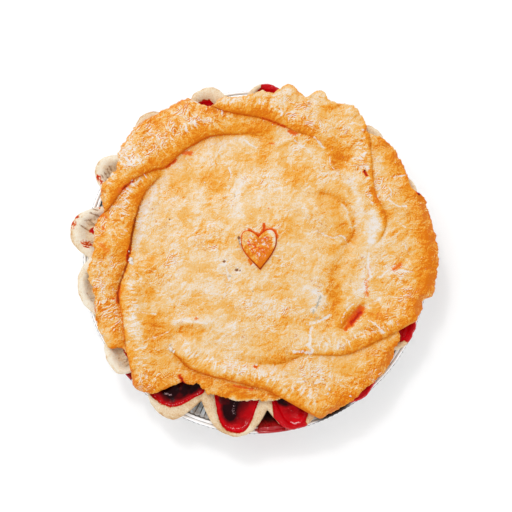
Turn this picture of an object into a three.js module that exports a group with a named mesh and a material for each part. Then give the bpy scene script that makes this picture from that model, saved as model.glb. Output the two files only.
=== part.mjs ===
// A cherry pie in its foil tin: a fluted bottom crust, the filling that runs through it and stands in
// the flutes, a folded top crust laid on a little off centre, and a pastry heart on its dome.
// Millimetres, +Z up, the origin in the middle of the tin's flat base.
// Angles are degrees, anticlockwise from +X.
import * as THREE from "three";
import { mergeVertices } from "three/addons/utils/BufferGeometryUtils.js";

// Foil tin for a nine-inch pie. Its wall is drawn thicker than foil, so that it is a solid body.
const tinHeight = 30;
const tinRimRadius = 112.5;
const tinBaseRadius = 86;
const foilThickness = 0.8;
const wallSlant = 1.2; // the wall's thickness along the radius, in foil thicknesses
const floorInset = 0.9; // how far the floor's inner edge lies in, in foil thicknesses
const beadRadius = 1; // the rolled edge
const beadArc = [-0.6, 0.85]; // where the bead's round starts and ends, in half turns
const flangeHeight = tinHeight - beadRadius;
const tinMouthRadius = 108.2;
const tinSegments = 56;
const beadSteps = 4;

// Bottom crust
const clearance = 0.45; // between neighbouring pieces
const crustThickness = 3.5;
const crustValleyRadius = 98; // where the crust is pinched in between two flutes
const crustInnerRadius = 86; // inner edge of the pinched crust
const juiceLevel = 33.6;
const crustRimHeight = 35.8;
const rimCrestShare = 0.72; // how far out on the rim its crest lies
const rimRounding = 1.2;
const shoreLip = 0.6; // half the width of the step from the rim down to the juice
const wallHeights = [12, 17.5, 27.5]; // where the crust's outside touches the tin's wall
const insideWall = [84, 24]; // radius and height of the crust's inside halfway up the wall
const insideFloorRadius = 76.5;
const insideCorner = 3; // the rounding between the inside's floor and wall
const fluteShare = 0.55; // how far in a flute's floor ends
const fluteDepth = 3.2; // and how deep it is there
const lobeBluntness = 2.5; // a larger power makes a flute's tip blunter
const lobeSteepness = 1.3;
const poolBluntness = 3;
const poolSteepness = 3.6; // a larger power makes the pool in a flute narrower

// Each flute: the angle of its tip, the angle of the valley after it, the radius that it reaches,
// and the radius that the juice reaches in it.
const flutes = [
  [-171, -157, 117.5, 105],
  [-141.9, -135.5, 117, 104],
  [-119.7, -111.1, 117.9, 109.7],
  [-96.7, -85.6, 115.3, 112],
  [-76.3, -63.9, 113, 109.5],
  [-51.6, -38, 113.4, 110],
  [-25.7, -12.8, 113.5, 110],
  [0, 12.2, 115.5, 109],
  [24.5, 35.7, 115.1, 109],
  [46.9, 56.5, 117.3, 109],
  [66, 76.2, 116.5, 109],
  [86.4, 96.7, 117.2, 113],
  [107, 117.5, 118.8, 110],
  [128.1, 138.4, 121, 109],
  [148.8, 158.5, 121.5, 104],
  [170.3, 179.6, 122.8, 105.5],
];
const flutePhases = [-1, -0.62, -0.3, 0, 0.3, 0.62]; // -1 and 1 are the valleys, 0 is the tip

// Top crust
const lidThickness = 4.5;
const lidUndersideHeight = 36.3;
const domeHeight = 7.2; // above the sheet's flat border
const domeRadius = 82;
const domeSteepness = 1.4;
const domeCentre = new THREE.Vector2(4, 6);
const lidEdgeThickness = 2.6;
const lidEdgeRounding = 0.35; // how far the edge's top ring lies up towards the sheet's top
const lidDroop = 4; // the most that the edge sinks where nothing holds it up
const lidReach = 2; // how far past the bottom crust the edge stays level
const lidUndersideShares = [0.35, 0.7, 0.94]; // rings of the sheet, as shares of its radius
const lidTopShares = [0.945, 0.895, 0.845, 0.795, 0.745, 0.69, 0.63, 0.56, 0.46, 0.34, 0.18];

// The ragged edge of the top crust, band by band: angle and radius.
const lidEdge = [
  [-176, 110.4], // left band
  [-168, 108],
  [-155, 112],
  [-146, 106.2],
  [-139, 106.7],
  [-133, 114], // lower left panel, with its corner over the tin's rim
  [-127, 109.7],
  [-121, 94.2],
  [-112, 91.8],
  [-98, 93.2],
  [-79, 93.8],
  [-68, 109.2], // bottom band
  [-54, 109.3],
  [-43, 111.5],
  [-35, 108.5],
  [-27, 104.8],
  [-20, 111.5], // right band
  [-11, 118],
  [4, 119],
  [19, 117.8],
  [26, 112.5],
  [36, 116.6],
  [46, 113.8],
  [51, 114.5], // top right flap
  [57, 120.8],
  [63, 116.1],
  [68, 119.6],
  [73, 113],
  [79, 118.3],
  [85, 110.8],
  [101, 109.1],
  [107, 105.5], // upper left band
  [112, 114.5],
  [131, 117.3],
  [141, 115.8],
  [148, 109.6],
  [156, 111.8],
  [163, 105],
  [174, 106.8],
];

// Folds of the top crust. Seen along its path, the sheet on the left lies over the sheet on the right.
// rise is the step at the fold, spread how far the raised band takes to sink again,
// and fadeIn and fadeOut how much of the path the step takes to begin and to end.
const folds = [
  {
    name: "left band over the dome",
    path: [[-81, 0], [-77.5, 22], [-73.5, 37], [-64, 53.5], [-58, 60]],
    rise: 5,
    spread: 34,
    fadeIn: 0.12,
    fadeOut: 0.1,
  },
  {
    name: "upper left band over the left band and the dome",
    path: [[-103, 26], [-88, 43.5], [-66, 57.5], [-51, 66.7], [-34, 76.7], [-12, 80], [14, 75]],
    rise: 6.5,
    spread: 42,
    fadeIn: 0.05,
    fadeOut: 0.28,
  },
  {
    name: "top right flap over the upper left band",
    path: [[-34, 100], [-10, 93], [14, 86.5], [33, 80], [45, 70.5], [50, 59], [51.5, 50]],
    rise: 5.5,
    spread: 40,
    fadeIn: 0.1,
    fadeOut: 0.35,
  },
  {
    name: "top right flap over the right band",
    path: [[80, 16], [82, 26], [75.5, 42], [75, 56], [74, 70], [70.5, 92]],
    rise: 4.2,
    spread: 34,
    fadeIn: 0.35,
    fadeOut: 0.05,
  },
  {
    name: "right band over the bottom band",
    path: [[-26, -64], [-10, -67.7], [10, -68], [30, -64], [50, -63.3], [80, -53], [98, -45]],
    rise: 4.8,
    spread: 44,
    fadeIn: 0.3,
    fadeOut: 0.05,
  },
  {
    name: "bottom band over the lower left panel",
    path: [[-55, -58], [-44, -69], [-33, -74.5], [-10, -81.5], [8, -85.5], [26, -95.5], [43, -103]],
    rise: 5.2,
    spread: 26,
    fadeIn: 0.14,
    fadeOut: 0.05,
  },
  {
    name: "lower left panel over the left band",
    path: [[-81, 2], [-86.5, -15], [-88.3, -27], [-84.5, -41], [-82.5, -60], [-76, -88]],
    rise: 4.2,
    spread: 36,
    fadeIn: 0.12,
    fadeOut: 0.05,
  },
];
const foldLip = 4; // width of the rounded edge of a fold
const foldSteps = 40;

// Filling
const fillingMiddleRadii = [62, 36]; // rings of its top
const fillingRise = [50, 82]; // it sinks from the roof to the juice's level between these radii
const fillingFullness = 0.9; // how much of the room under the dome it takes

// Pastry heart
const heartWidth = 22.4;
const heartHeight = 24.6;
const heartThickness = 3.6;
const heartBevel = 0.8;
const heartCentre = new THREE.Vector2(2.2, 4.6); // the middle of its box
const heartTurn = 3;

const radians = THREE.MathUtils.degToRad;
const lerp = THREE.MathUtils.lerp;
const smoothstep = THREE.MathUtils.smoothstep;

function material(color, roughness, metalness = 0) {
  return new THREE.MeshStandardMaterial({ color, roughness, metalness });
}

function named(name, geometry, finish) {
  const mesh = new THREE.Mesh(geometry, finish);
  mesh.name = name;
  return mesh;
}

// A point of a section, turned to an angle.
function at(angle, radius, height) {
  return new THREE.Vector3(radius * Math.cos(angle), radius * Math.sin(angle), height);
}

// One closed body from rings of equally many points, with a point on the axis before the first
// and after the last. The rings run from the middle of the underside out and over to the top's middle.
// Each square is cut along its shorter diagonal, so that pieces with the same rings fit each other.
function closedRings(firstPoint, rings, lastPoint) {
  const count = rings[0].length;
  const points = [firstPoint, ...rings.flat(), lastPoint];
  const last = points.length - 1;
  const indices = [];
  for (let i = 0; i < count; i++) {
    const next = (i + 1) % count;
    indices.push(0, 1 + next, 1 + i);
    for (let ring = 0; ring < rings.length - 1; ring++) {
      const low = 1 + ring * count;
      const high = low + count;
      const [a, b, c, d] = [low + i, low + next, high + next, high + i];
      if (points[a].distanceTo(points[c]) < points[b].distanceTo(points[d])) {
        indices.push(a, b, c, a, c, d);
      } else {
        indices.push(a, b, d, b, c, d);
      }
    }
    const top = 1 + (rings.length - 1) * count;
    indices.push(top + i, top + next, last);
  }
  const geometry = new THREE.BufferGeometry().setFromPoints(points);
  geometry.setIndex(indices);
  geometry.computeVertexNormals();
  return geometry;
}

// A smooth closed curve of radius against angle, through [degrees, radius] pairs in rising order.
function radiusCurve(pairs) {
  const count = pairs.length;
  const angleOf = (i) => pairs[(i + count) % count][0] + 360 * Math.floor(i / count);
  const radiusOf = (i) => pairs[(i + count) % count][1];
  const slope = (i) => (radiusOf(i + 1) - radiusOf(i - 1)) / (angleOf(i + 1) - angleOf(i - 1));
  return (angle) => {
    const turned = THREE.MathUtils.radToDeg(angle) - angleOf(0);
    const degrees = THREE.MathUtils.euclideanModulo(turned, 360) + angleOf(0);
    const i = pairs.findLastIndex(([start]) => start <= degrees);
    const width = angleOf(i + 1) - angleOf(i);
    const t = (degrees - angleOf(i)) / width;
    const start = (1 + 2 * t) * (1 - t) ** 2 * radiusOf(i) + t * (1 - t) ** 2 * width * slope(i);
    const end = t * t * (3 - 2 * t) * radiusOf(i + 1) + t * t * (t - 1) * width * slope(i + 1);
    return start + end;
  };
}

// ---- Foil tin

const tinFloorRadius = tinBaseRadius - foilThickness * floorInset;

function tinInnerRadius(height) {
  return lerp(tinFloorRadius, tinMouthRadius, (height - foilThickness) / (flangeHeight - foilThickness));
}

function foilTin() {
  const profile = [new THREE.Vector2(0, 0), new THREE.Vector2(tinBaseRadius, 0)];
  const wallTopRadius = tinMouthRadius + foilThickness * wallSlant;
  profile.push(new THREE.Vector2(wallTopRadius, flangeHeight - foilThickness));
  const beadCentre = new THREE.Vector2(tinRimRadius - beadRadius, tinHeight - beadRadius);
  for (let step = 0; step <= beadSteps; step++) {
    const turn = lerp(...beadArc, step / beadSteps) * Math.PI;
    const spot = new THREE.Vector2(Math.cos(turn), Math.sin(turn)).multiplyScalar(beadRadius);
    profile.push(spot.add(beadCentre));
  }
  profile.push(new THREE.Vector2(tinMouthRadius, flangeHeight));
  profile.push(new THREE.Vector2(tinFloorRadius, foilThickness));
  profile.push(new THREE.Vector2(0, foilThickness));
  const geometry = new THREE.LatheGeometry(profile, tinSegments);
  geometry.rotateX(Math.PI / 2);
  geometry.deleteAttribute("normal");
  geometry.deleteAttribute("uv");
  const tin = mergeVertices(geometry, 1e-3);
  tin.computeVertexNormals();
  return named("foil_tin", tin, material("#c9ccd0", 0.3, 1));
}

// ---- Flutes, shared by the crusts and the filling

// From 0 at a valley to 1 at a flute's tip.
function swelling(phase, bluntness, steepness) {
  return (1 - Math.abs(phase) ** bluntness) ** steepness;
}

const stations = flutes.flatMap(([tip, after, reach, shore], i) => {
  const before = flutes.at(i - 1)[1] - (i === 0 ? 360 : 0);
  return flutePhases.map((phase) => {
    const valley = phase < 0 ? before : after;
    return {
      angle: radians(lerp(tip, valley, Math.abs(phase))),
      outer: lerp(crustValleyRadius, reach, swelling(phase, lobeBluntness, lobeSteepness)),
      inner: lerp(crustInnerRadius, shore, swelling(phase, poolBluntness, poolSteepness)),
    };
  });
});

// Rings from a section that is worked out anew at each station: [radius, height] pairs.
function sweep(section) {
  const sections = stations.map(section);
  return sections[0].map((_, i) => stations.map(({ angle }, j) => at(angle, ...sections[j][i])));
}

// Inside of the bottom crust, from its shore in the flute down to the floor: [radius, height] pairs.
function crustInside(station) {
  const floor = foilThickness + clearance + crustThickness;
  return [
    [station.inner - shoreLip, juiceLevel - shoreLip],
    [lerp(station.inner, crustInnerRadius, fluteShare), juiceLevel - fluteDepth],
    insideWall,
    [insideFloorRadius + insideCorner, floor + insideCorner],
    [insideFloorRadius, floor],
  ];
}

function bottomCrust() {
  const floor = foilThickness + clearance;
  const overRim = tinHeight + clearance;
  const wallRadius = (station, height) => Math.min(tinInnerRadius(height) - clearance, station.outer);
  const wallTop = wallHeights.at(-1);
  const section = (station) => [
    [tinInnerRadius(floor) - clearance, floor],
    ...wallHeights.map((height) => [wallRadius(station, height), height]),
    [wallRadius(station, wallTop), overRim],
    [Math.max(wallRadius(station, wallTop), station.outer - rimRounding), overRim + rimRounding / 6],
    [station.outer, lerp(overRim, crustRimHeight, 0.45)],
    [station.outer - rimRounding, crustRimHeight - rimRounding / 2],
    [lerp(station.inner, station.outer, rimCrestShare), crustRimHeight],
    [station.inner + shoreLip, juiceLevel + 1.5 * shoreLip],
    ...crustInside(station),
  ];
  const geometry = closedRings(at(0, 0, floor), sweep(section), at(0, 0, floor + crustThickness));
  return named("bottom_crust", geometry, material("#ecd9b4", 0.7));
}

// ---- Top crust

const lidRadius = radiusCurve(lidEdge);

// The sheet's height without its folds: a flat border that swells to a dome over the fruit.
function sheetHeight(x, y) {
  const distance = Math.hypot(x - domeCentre.x, y - domeCentre.y) / domeRadius;
  const swell = distance < 1 ? (1 - distance ** 2) ** domeSteepness : 0;
  return lidUndersideHeight + lidThickness + domeHeight * swell;
}

const foldLines = folds.map((fold) => {
  const curve = new THREE.CatmullRomCurve3(fold.path.map(([x, y]) => new THREE.Vector3(x, y, 0)));
  return { ...fold, points: curve.getPoints(foldSteps) };
});

// How far a point lies on the upper side of a fold, negative on the other, and how far along the fold.
function foldPlace(fold, x, y) {
  let nearest = Infinity;
  let place = { side: 0, along: 0 };
  for (let i = 0; i < foldSteps; i++) {
    const a = fold.points[i];
    const b = fold.points[i + 1];
    const length2 = (b.x - a.x) ** 2 + (b.y - a.y) ** 2;
    const shadow = ((x - a.x) * (b.x - a.x) + (y - a.y) * (b.y - a.y)) / length2;
    const t = THREE.MathUtils.clamp(shadow, 0, 1);
    const distance = Math.hypot(x - lerp(a.x, b.x, t), y - lerp(a.y, b.y, t));
    if (distance < nearest) {
      nearest = distance;
      const cross = (b.x - a.x) * (y - a.y) - (b.y - a.y) * (x - a.x);
      place = { side: cross >= 0 ? distance : -distance, along: (i + t) / foldSteps };
    }
  }
  return place;
}

function foldHeight(x, y) {
  let height = 0;
  for (const fold of foldLines) {
    const { side, along } = foldPlace(fold, x, y);
    if (side <= 0) continue;
    const strength = smoothstep(along, 0, fold.fadeIn) * smoothstep(1 - along, 0, fold.fadeOut);
    const lip = Math.sqrt(1 - (1 - Math.min(side / foldLip, 1)) ** 2);
    const sink = 1 - smoothstep(side, foldLip, fold.spread);
    height += fold.rise * strength * lip * sink;
  }
  return height;
}

function topCrust() {
  const rings = [];
  const addRing = (share, heightAt) => {
    rings.push(
      stations.map(({ angle, outer }) => {
        const overhang = lidRadius(angle) - outer - lidReach;
        const droop = THREE.MathUtils.clamp(overhang, 0, lidDroop);
        const point = at(angle, share * lidRadius(angle), 0);
        point.z = heightAt(point.x, point.y, droop);
        return point;
      }),
    );
  };
  const underside = (x, y) => sheetHeight(x, y) - lidThickness;
  const topside = (x, y) => sheetHeight(x, y) + foldHeight(x, y);
  const edgeTop = lidUndersideHeight + lidEdgeThickness;
  for (const share of lidUndersideShares) {
    addRing(share, underside);
  }
  addRing(0.995, (x, y, droop) => lidUndersideHeight + 0.3 - droop);
  addRing(1, (x, y, droop) => lidUndersideHeight + lidEdgeThickness * 0.6 - droop);
  addRing(0.985, (x, y, droop) => lerp(edgeTop, topside(x, y), lidEdgeRounding) - droop * 0.8);
  for (const share of lidTopShares) {
    addRing(share, topside);
  }
  const geometry = closedRings(at(0, 0, underside(0, 0)), rings, at(0, 0, topside(0, 0)));
  return named("top_crust", geometry, material("#e9b469", 0.45));
}

// ---- Filling

function filling() {
  const floor = foilThickness + clearance + crustThickness + clearance;
  const section = (station) => {
    const inside = crustInside(station).slice(1).reverse();
    return [
      ...inside.map(([radius, height]) => [radius - clearance, height + clearance]),
      [station.inner - 1.2, juiceLevel],
      [Math.min(station.inner - 3, fillingRise[1]), juiceLevel],
      ...fillingMiddleRadii.map((radius) => [radius, fillingTop(at(station.angle, radius, 0))]),
    ];
  };
  const middle = at(0, 0, 0);
  const geometry = closedRings(at(0, 0, floor), sweep(section), middle.setZ(fillingTop(middle)));
  return named("filling", geometry, material("#9c0f1c", 0.2));
}

// The filling's top just under the top crust, sinking to the level of the juice near the wall.
function fillingTop(place) {
  const roof = sheetHeight(place.x, place.y) - lidThickness - 2 * clearance;
  const rise = 1 - smoothstep(Math.hypot(place.x, place.y), ...fillingRise);
  return lerp(juiceLevel, roof, rise * fillingFullness);
}

// ---- Pastry heart

function heart() {
  const half = heartWidth / 2 - heartBevel;
  const top = heartHeight / 2 - heartBevel;
  const shape = new THREE.Shape();
  shape.moveTo(0, -top);
  shape.bezierCurveTo(half * 0.35, -top * 0.62, half, -top * 0.05, half, top * 0.45);
  shape.bezierCurveTo(half, top * 1.15, half * 0.12, top * 1.2, 0, top * 0.62);
  shape.bezierCurveTo(-half * 0.12, top * 1.2, -half, top * 1.15, -half, top * 0.45);
  shape.bezierCurveTo(-half, -top * 0.05, -half * 0.35, -top * 0.62, 0, -top);
  const geometry = new THREE.ExtrudeGeometry(shape, {
    depth: heartThickness - heartBevel * 2,
    bevelThickness: heartBevel,
    bevelSize: heartBevel,
    bevelSegments: 1,
    curveSegments: 7,
  });
  const seat = sheetHeight(domeCentre.x, domeCentre.y) + clearance;
  geometry.rotateZ(radians(heartTurn));
  geometry.translate(heartCentre.x, heartCentre.y, seat + heartBevel);
  return named("heart", geometry, material("#d98a3e", 0.4));
}

const group = new THREE.Group();
group.add(foilTin(), bottomCrust(), filling(), topCrust(), heart());

export default group;
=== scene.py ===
import math

import bpy
import numpy as np
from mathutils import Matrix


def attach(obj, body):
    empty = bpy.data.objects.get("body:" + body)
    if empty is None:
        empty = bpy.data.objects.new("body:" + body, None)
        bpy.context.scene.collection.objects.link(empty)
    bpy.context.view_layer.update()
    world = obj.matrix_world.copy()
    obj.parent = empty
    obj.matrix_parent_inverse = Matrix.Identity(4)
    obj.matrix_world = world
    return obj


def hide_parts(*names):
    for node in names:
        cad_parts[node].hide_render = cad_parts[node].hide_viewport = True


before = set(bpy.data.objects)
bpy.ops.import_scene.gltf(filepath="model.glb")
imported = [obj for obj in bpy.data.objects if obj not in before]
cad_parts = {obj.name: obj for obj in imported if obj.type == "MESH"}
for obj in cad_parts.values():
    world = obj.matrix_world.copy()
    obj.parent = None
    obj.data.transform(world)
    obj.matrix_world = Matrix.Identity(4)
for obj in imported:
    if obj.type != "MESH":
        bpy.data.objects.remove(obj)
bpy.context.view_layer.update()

mm = 0.001  # shapes are worked out in millimetres and made into metres with the mesh


def smooth(low, high, value):
    t = np.clip((value - low) / (high - low), 0, 1)
    return t * t * (3 - 2 * t)


def mix(a, b, t):
    return a + (b - a) * t


def between(low, high, outside, within, value):
    # 1 from low to high, fading over a little outside and a little within both ends
    return smooth(low - outside, low + within, value) * (1 - smooth(high - within, high + outside, value))


def makeNoise(seed):
    rng = np.random.RandomState(seed)
    order = np.tile(rng.permutation(256), 2)
    turn = rng.uniform(0, 2 * np.pi, 256)
    slopeX, slopeY = np.cos(turn), np.sin(turn)

    def noise(x, y):
        cellX, cellY = np.floor(x).astype(int), np.floor(y).astype(int)
        inX, inY = x - cellX, y - cellY

        def corner(stepX, stepY):
            pick = order[(order[(cellX + stepX) & 255] + cellY + stepY) & 255]
            return slopeX[pick] * (inX - stepX) + slopeY[pick] * (inY - stepY)

        u = inX**3 * (inX * (inX * 6 - 15) + 10)
        v = inY**3 * (inY * (inY * 6 - 15) + 10)
        low = mix(corner(0, 0), corner(1, 0), u)
        high = mix(corner(0, 1), corner(1, 1), u)
        return 1.5 * mix(low, high, v)

    return noise


noise = makeNoise(11)


def fractal(x, y, size, octaves, gain=0.5):
    total, weight = 0, 1
    for i in range(octaves):
        reach = 2**i / size
        total = total + weight * noise(x * reach + 17.3 * i, y * reach - 9.1 * i)
        weight *= gain
    return total


def storeValues(mesh, name, values):
    layer = mesh.attributes.get(name) or mesh.attributes.new(name, "FLOAT", "POINT")
    layer.data.foreach_set("value", np.asarray(values, np.float32))


def meshObject(name, points, faces, attributes=None):
    mesh = bpy.data.meshes.new(name)
    mesh.from_pydata((np.asarray(points) * mm).tolist(), [], faces)
    mesh.polygons.foreach_set("use_smooth", np.ones(len(mesh.polygons), bool))
    for key, values in (attributes or {}).items():
        storeValues(mesh, key, values)
    mesh.validate()
    mesh.update()
    thing = bpy.data.objects.new(name, mesh)
    bpy.context.scene.collection.objects.link(thing)
    return thing


def ringFaces(counts, start=0):
    # rings of points one after another, the next with as many points, twice as many or half as many
    faces = []
    for a, b in zip(counts[:-1], counts[1:]):
        low, high = start, start + a
        i = np.arange(min(a, b))
        j = (i + 1) % len(i)
        if a == b:
            faces += np.stack([low + i, low + j, high + j, high + i], 1).tolist()
        elif b == 2 * a:
            left, middle, right = high + 2 * i, high + 2 * i + 1, high + 2 * j
            faces += np.stack([low + i, middle, left], 1).tolist()
            faces += np.stack([low + i, low + j, middle], 1).tolist()
            faces += np.stack([low + j, right, middle], 1).tolist()
        else:
            left, middle, right = low + 2 * i, low + 2 * i + 1, low + 2 * j
            faces += np.stack([left, middle, high + i], 1).tolist()
            faces += np.stack([middle, high + j, high + i], 1).tolist()
            faces += np.stack([middle, right, high + j], 1).tolist()
        start += a
    return faces


def closedRings(name, rings, attributes=None):
    # the first and the last ring close on their own middle points
    counts = [len(ring) for ring in rings]
    points = np.concatenate(rings)
    total = len(points)
    first, last = rings[0].mean(0), rings[-1].mean(0)
    faces = ringFaces(counts)
    i = np.arange(counts[0])
    faces += np.stack([np.full_like(i, total), (i + 1) % counts[0], i], 1).tolist()
    i = np.arange(counts[-1])
    edge = total - counts[-1]
    faces += np.stack([edge + i, edge + (i + 1) % counts[-1], np.full_like(i, total + 1)], 1).tolist()
    values = {}
    for key, value in (attributes or {}).items():
        values[key] = np.concatenate([value, [value[0], value[-1]]])
    return meshObject(name, np.concatenate([points, [first, last]]), faces, values)


def smoothRings(controls, steps):
    # more rings between the given ones, on a smooth curve through them
    count = len(controls)
    rings = []
    for i in range(count - 1):
        a, b = controls[max(i - 1, 0)], controls[i]
        c, d = controls[i + 1], controls[min(i + 2, count - 1)]
        for step in range(steps):
            t = step / steps
            curve = 2 * b + (c - a) * t + (2 * a - 5 * b + 4 * c - d) * t * t
            rings.append(0.5 * (curve + (3 * b - a - 3 * c + d) * t**3))
    return rings + [controls[-1]]


def around(angle, radius, height):
    height = np.broadcast_to(height, np.shape(angle))
    return np.stack([radius * np.cos(angle), radius * np.sin(angle), height], 1)


studioWhite = 1.165  # the light is this much brighter than white needs, so colours are held back by as much


def toLinear(red, green, blue):
    parts = [c / 255 for c in (red, green, blue)]
    linear = [c / 12.92 if c <= 0.04045 else ((c + 0.055) / 1.055) ** 2.4 for c in parts]
    return tuple(c / studioWhite for c in linear) + (1,)


def addNode(tree, kind, inputs=None, **settings):
    node = tree.nodes.new(kind)
    for key, value in settings.items():
        setattr(node, key, value)
    for key, value in (inputs or {}).items():
        if isinstance(value, bpy.types.NodeSocket):
            tree.links.new(value, node.inputs[key])
        else:
            node.inputs[key].default_value = value
    return node


def calculate(tree, operation, a, b=0.0, clamp=False):
    return addNode(tree, "ShaderNodeMath", {0: a, 1: b}, operation=operation, use_clamp=clamp).outputs[0]


def times(tree, first, *others):
    for other in others:
        first = calculate(tree, "MULTIPLY", first, other)
    return first


def mapRange(tree, value, low, high, toLow=0.0, toHigh=1.0):
    inputs = {"Value": value, "From Min": low, "From Max": high, "To Min": toLow, "To Max": toHigh}
    return addNode(tree, "ShaderNodeMapRange", inputs, interpolation_type="SMOOTHSTEP").outputs[0]


def mixColour(tree, share, a, b):
    return addNode(tree, "ShaderNodeMix", {0: share, 6: a, 7: b}, data_type="RGBA").outputs[2]


def ramp(tree, share, stops):
    node = addNode(tree, "ShaderNodeValToRGB", {"Fac": share})
    while len(node.color_ramp.elements) < len(stops):
        node.color_ramp.elements.new(0.5)
    for element, (place, colour) in zip(node.color_ramp.elements, stops):
        element.position = place
        element.color = toLinear(*colour)
    return node.outputs[0]


def attribute(tree, name):
    return addNode(tree, "ShaderNodeAttribute", attribute_name=name).outputs["Fac"]


def noiseTexture(tree, place, scale, detail, distortion=0.0):
    inputs = {"Vector": place, "Scale": scale, "Detail": detail, "Distortion": distortion}
    return addNode(tree, "ShaderNodeTexNoise", inputs).outputs["Fac"]


def paintOver(tree, colour, amount, low, high, strength, tone):
    # a tone over a colour: none of it where the amount is low, up to its strength where the amount is high
    over = toLinear(*tone) if isinstance(tone, tuple) else tone
    return mixColour(tree, mapRange(tree, amount, low, high, 0.0, strength), colour, over)


def grainy(tree, name, marks, share):
    # a stored value with its edge broken up by the grain
    return weigh(tree, (attribute(tree, name), 1.0), (marks["Grain"], share))


def connect(tree, shader, values):
    for key, value in values.items():
        tree.links.new(value, shader.inputs[key])


def newMaterial(name, **constants):
    material = bpy.data.materials.new(name)
    material.use_nodes = True
    tree = material.node_tree
    shader = tree.nodes["Principled BSDF"]
    for key, value in constants.items():
        shader.inputs[key].default_value = value
    place = addNode(tree, "ShaderNodeTexCoord").outputs["Object"]
    return material, tree, shader, place


def makePastryGroup():
    # the look of baked dough: patches, grain, wrinkles, lumps and small brown pores, with painted shade on
    # one side of each wrinkle and lump and painted light on the other
    group = bpy.data.node_groups.new("pastryMottle", "ShaderNodeTree")
    for name, kind, value in (
        ("Place", "NodeSocketVector", None),
        ("Patch Size", "NodeSocketFloat", 0.012),
        ("Grain Size", "NodeSocketFloat", 0.0007),
        ("Wrinkle Size", "NodeSocketFloat", 0.0013),
        ("Lump Size", "NodeSocketFloat", 0.0055),
        # the side of each wrinkle and lump that gets the painted shade
        ("Shaded Side", "NodeSocketVector", (0.00024, -0.00034, 0.0)),
    ):
        socket = group.interface.new_socket(name, in_out="INPUT", socket_type=kind)
        if value:
            socket.default_value = value
    for name in ("Patches", "Grain", "Shaded Wrinkles", "Lump Shading", "Pores", "Height"):
        group.interface.new_socket(name, in_out="OUTPUT", socket_type="NodeSocketFloat")
    given = addNode(group, "NodeGroupInput").outputs
    place = given["Place"]

    def noiseAt(size, detail, roughness=0.5, distortion=0.0, place=place):
        scale = calculate(group, "DIVIDE", 1.0, size)
        inputs = {"Vector": place, "Scale": scale, "Detail": detail, "Roughness": roughness}
        inputs["Distortion"] = distortion
        return addNode(group, "ShaderNodeTexNoise", inputs).outputs["Fac"]

    def reliefAt(place):
        # wrinkles are the level lines of a slow wave
        levels = calculate(group, "DIVIDE", 0.09, given["Wrinkle Size"])
        slow = noiseAt(0.011, 2.0, 0.45, 0.8, place)
        slow = weigh(group, (slow, 1.0), (noiseAt(0.002, 1.0, place=place), 0.06))
        wave = calculate(group, "SINE", times(group, slow, levels))
        return mapRange(group, wave, -0.3, 0.9), noiseAt(given["Lump Size"], 4.0, 0.55, 0.5, place)

    broad = noiseAt(given["Patch Size"], 7.0, 0.62, 0.6)
    grain = calculate(group, "SUBTRACT", noiseAt(given["Grain Size"], 1.0, 0.6), 0.5)
    middle = calculate(group, "SUBTRACT", noiseAt(0.0024, 2.0, 0.8, 0.5), 0.5)
    grain = weigh(group, (grain, 1.0), (middle, 0.5))
    both = {0: place, 1: given["Shaded Side"]}
    beside = addNode(group, "ShaderNodeVectorMath", both, operation="ADD").outputs[0]
    wave, lump = reliefAt(place)
    waveBeside, lumpBeside = reliefAt(beside)
    wrinkled = mapRange(group, noiseAt(0.007, 2.0, 0.6), 0.42, 0.56)
    wrinkles = weigh(group, (wave, 0.7), (waveBeside, -1.0))
    wrinkles = times(group, wrinkles, wrinkled)
    lumps = calculate(group, "SUBTRACT", lump, lumpBeside)
    pores = mapRange(group, noiseAt(0.0013, 1.0, 0.5, 0.5), 0.6, 0.66)
    pores = times(group, pores, mapRange(group, noiseAt(0.012, 3.0, 0.7), 0.56, 0.66))
    raised = times(group, wave, wrinkled)
    high = weigh(group, (broad, 0.5), (lump, 0.8), (grain, 0.4), (raised, 0.2), (pores, -0.25))
    result = {"Patches": broad, "Grain": grain, "Shaded Wrinkles": wrinkles}
    result = {**result, "Lump Shading": lumps, "Pores": pores, "Height": high}
    addNode(group, "NodeGroupOutput", result)
    return group


def pastry(tree, place, group, **sizes):
    node = addNode(tree, "ShaderNodeGroup", node_tree=group)
    tree.links.new(place, node.inputs["Place"])
    for key, value in sizes.items():
        node.inputs[key].default_value = value
    return node.outputs


def bumpFrom(tree, height, strength, distance):
    inputs = {"Height": height, "Strength": strength, "Distance": distance}
    return addNode(tree, "ShaderNodeBump", inputs).outputs[0]


def weigh(tree, *terms):
    # adds up values, each times its share
    total = None
    for value, share in terms:
        part = calculate(tree, "MULTIPLY", value, share)
        total = part if total is None else calculate(tree, "ADD", total, part)
    return total


pastryGroup = makePastryGroup()

goldenTones = [
    (0.0, (240, 231, 224)),
    (0.2, (242, 219, 188)),
    (0.4, (243, 204, 146)),
    (0.58, (243, 187, 104)),
    (0.74, (243, 168, 58)),
    (0.88, (240, 148, 28)),
    (1.0, (226, 118, 6)),
]
seepTones = [
    (0.0, (240, 150, 50)),
    (0.35, (236, 108, 12)),
    (0.55, (214, 56, 8)),
    (0.75, (168, 18, 12)),
    (1.0, (70, 4, 12)),
]
paleTones = [
    (0.0, (250, 240, 220)),
    (0.25, (242, 218, 182)),
    (0.5, (226, 188, 142)),
    (0.75, (210, 150, 84)),
    (1.0, (160, 78, 24)),
]
stainTones = [
    (0.0, (232, 150, 70)),
    (0.3, (224, 96, 24)),
    (0.5, (180, 36, 12)),
    (0.62, (206, 6, 20)),
    (1.0, (206, 6, 20)),
]
juiceTones = [(0.0, (218, 2, 18)), (0.3, (190, 0, 12)), (0.6, (126, 0, 8)), (1.0, (36, 0, 4))]
filmTones = [(0.0, (200, 50, 40)), (0.5, (184, 2, 20)), (0.75, (106, 0, 10)), (1.0, (24, 0, 5))]
foilTones = [(0.25, (274, 274, 276)), (0.6, (274, 274, 276)), (0.8, (150, 152, 154)), (1.0, (50, 48, 48))]


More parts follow.
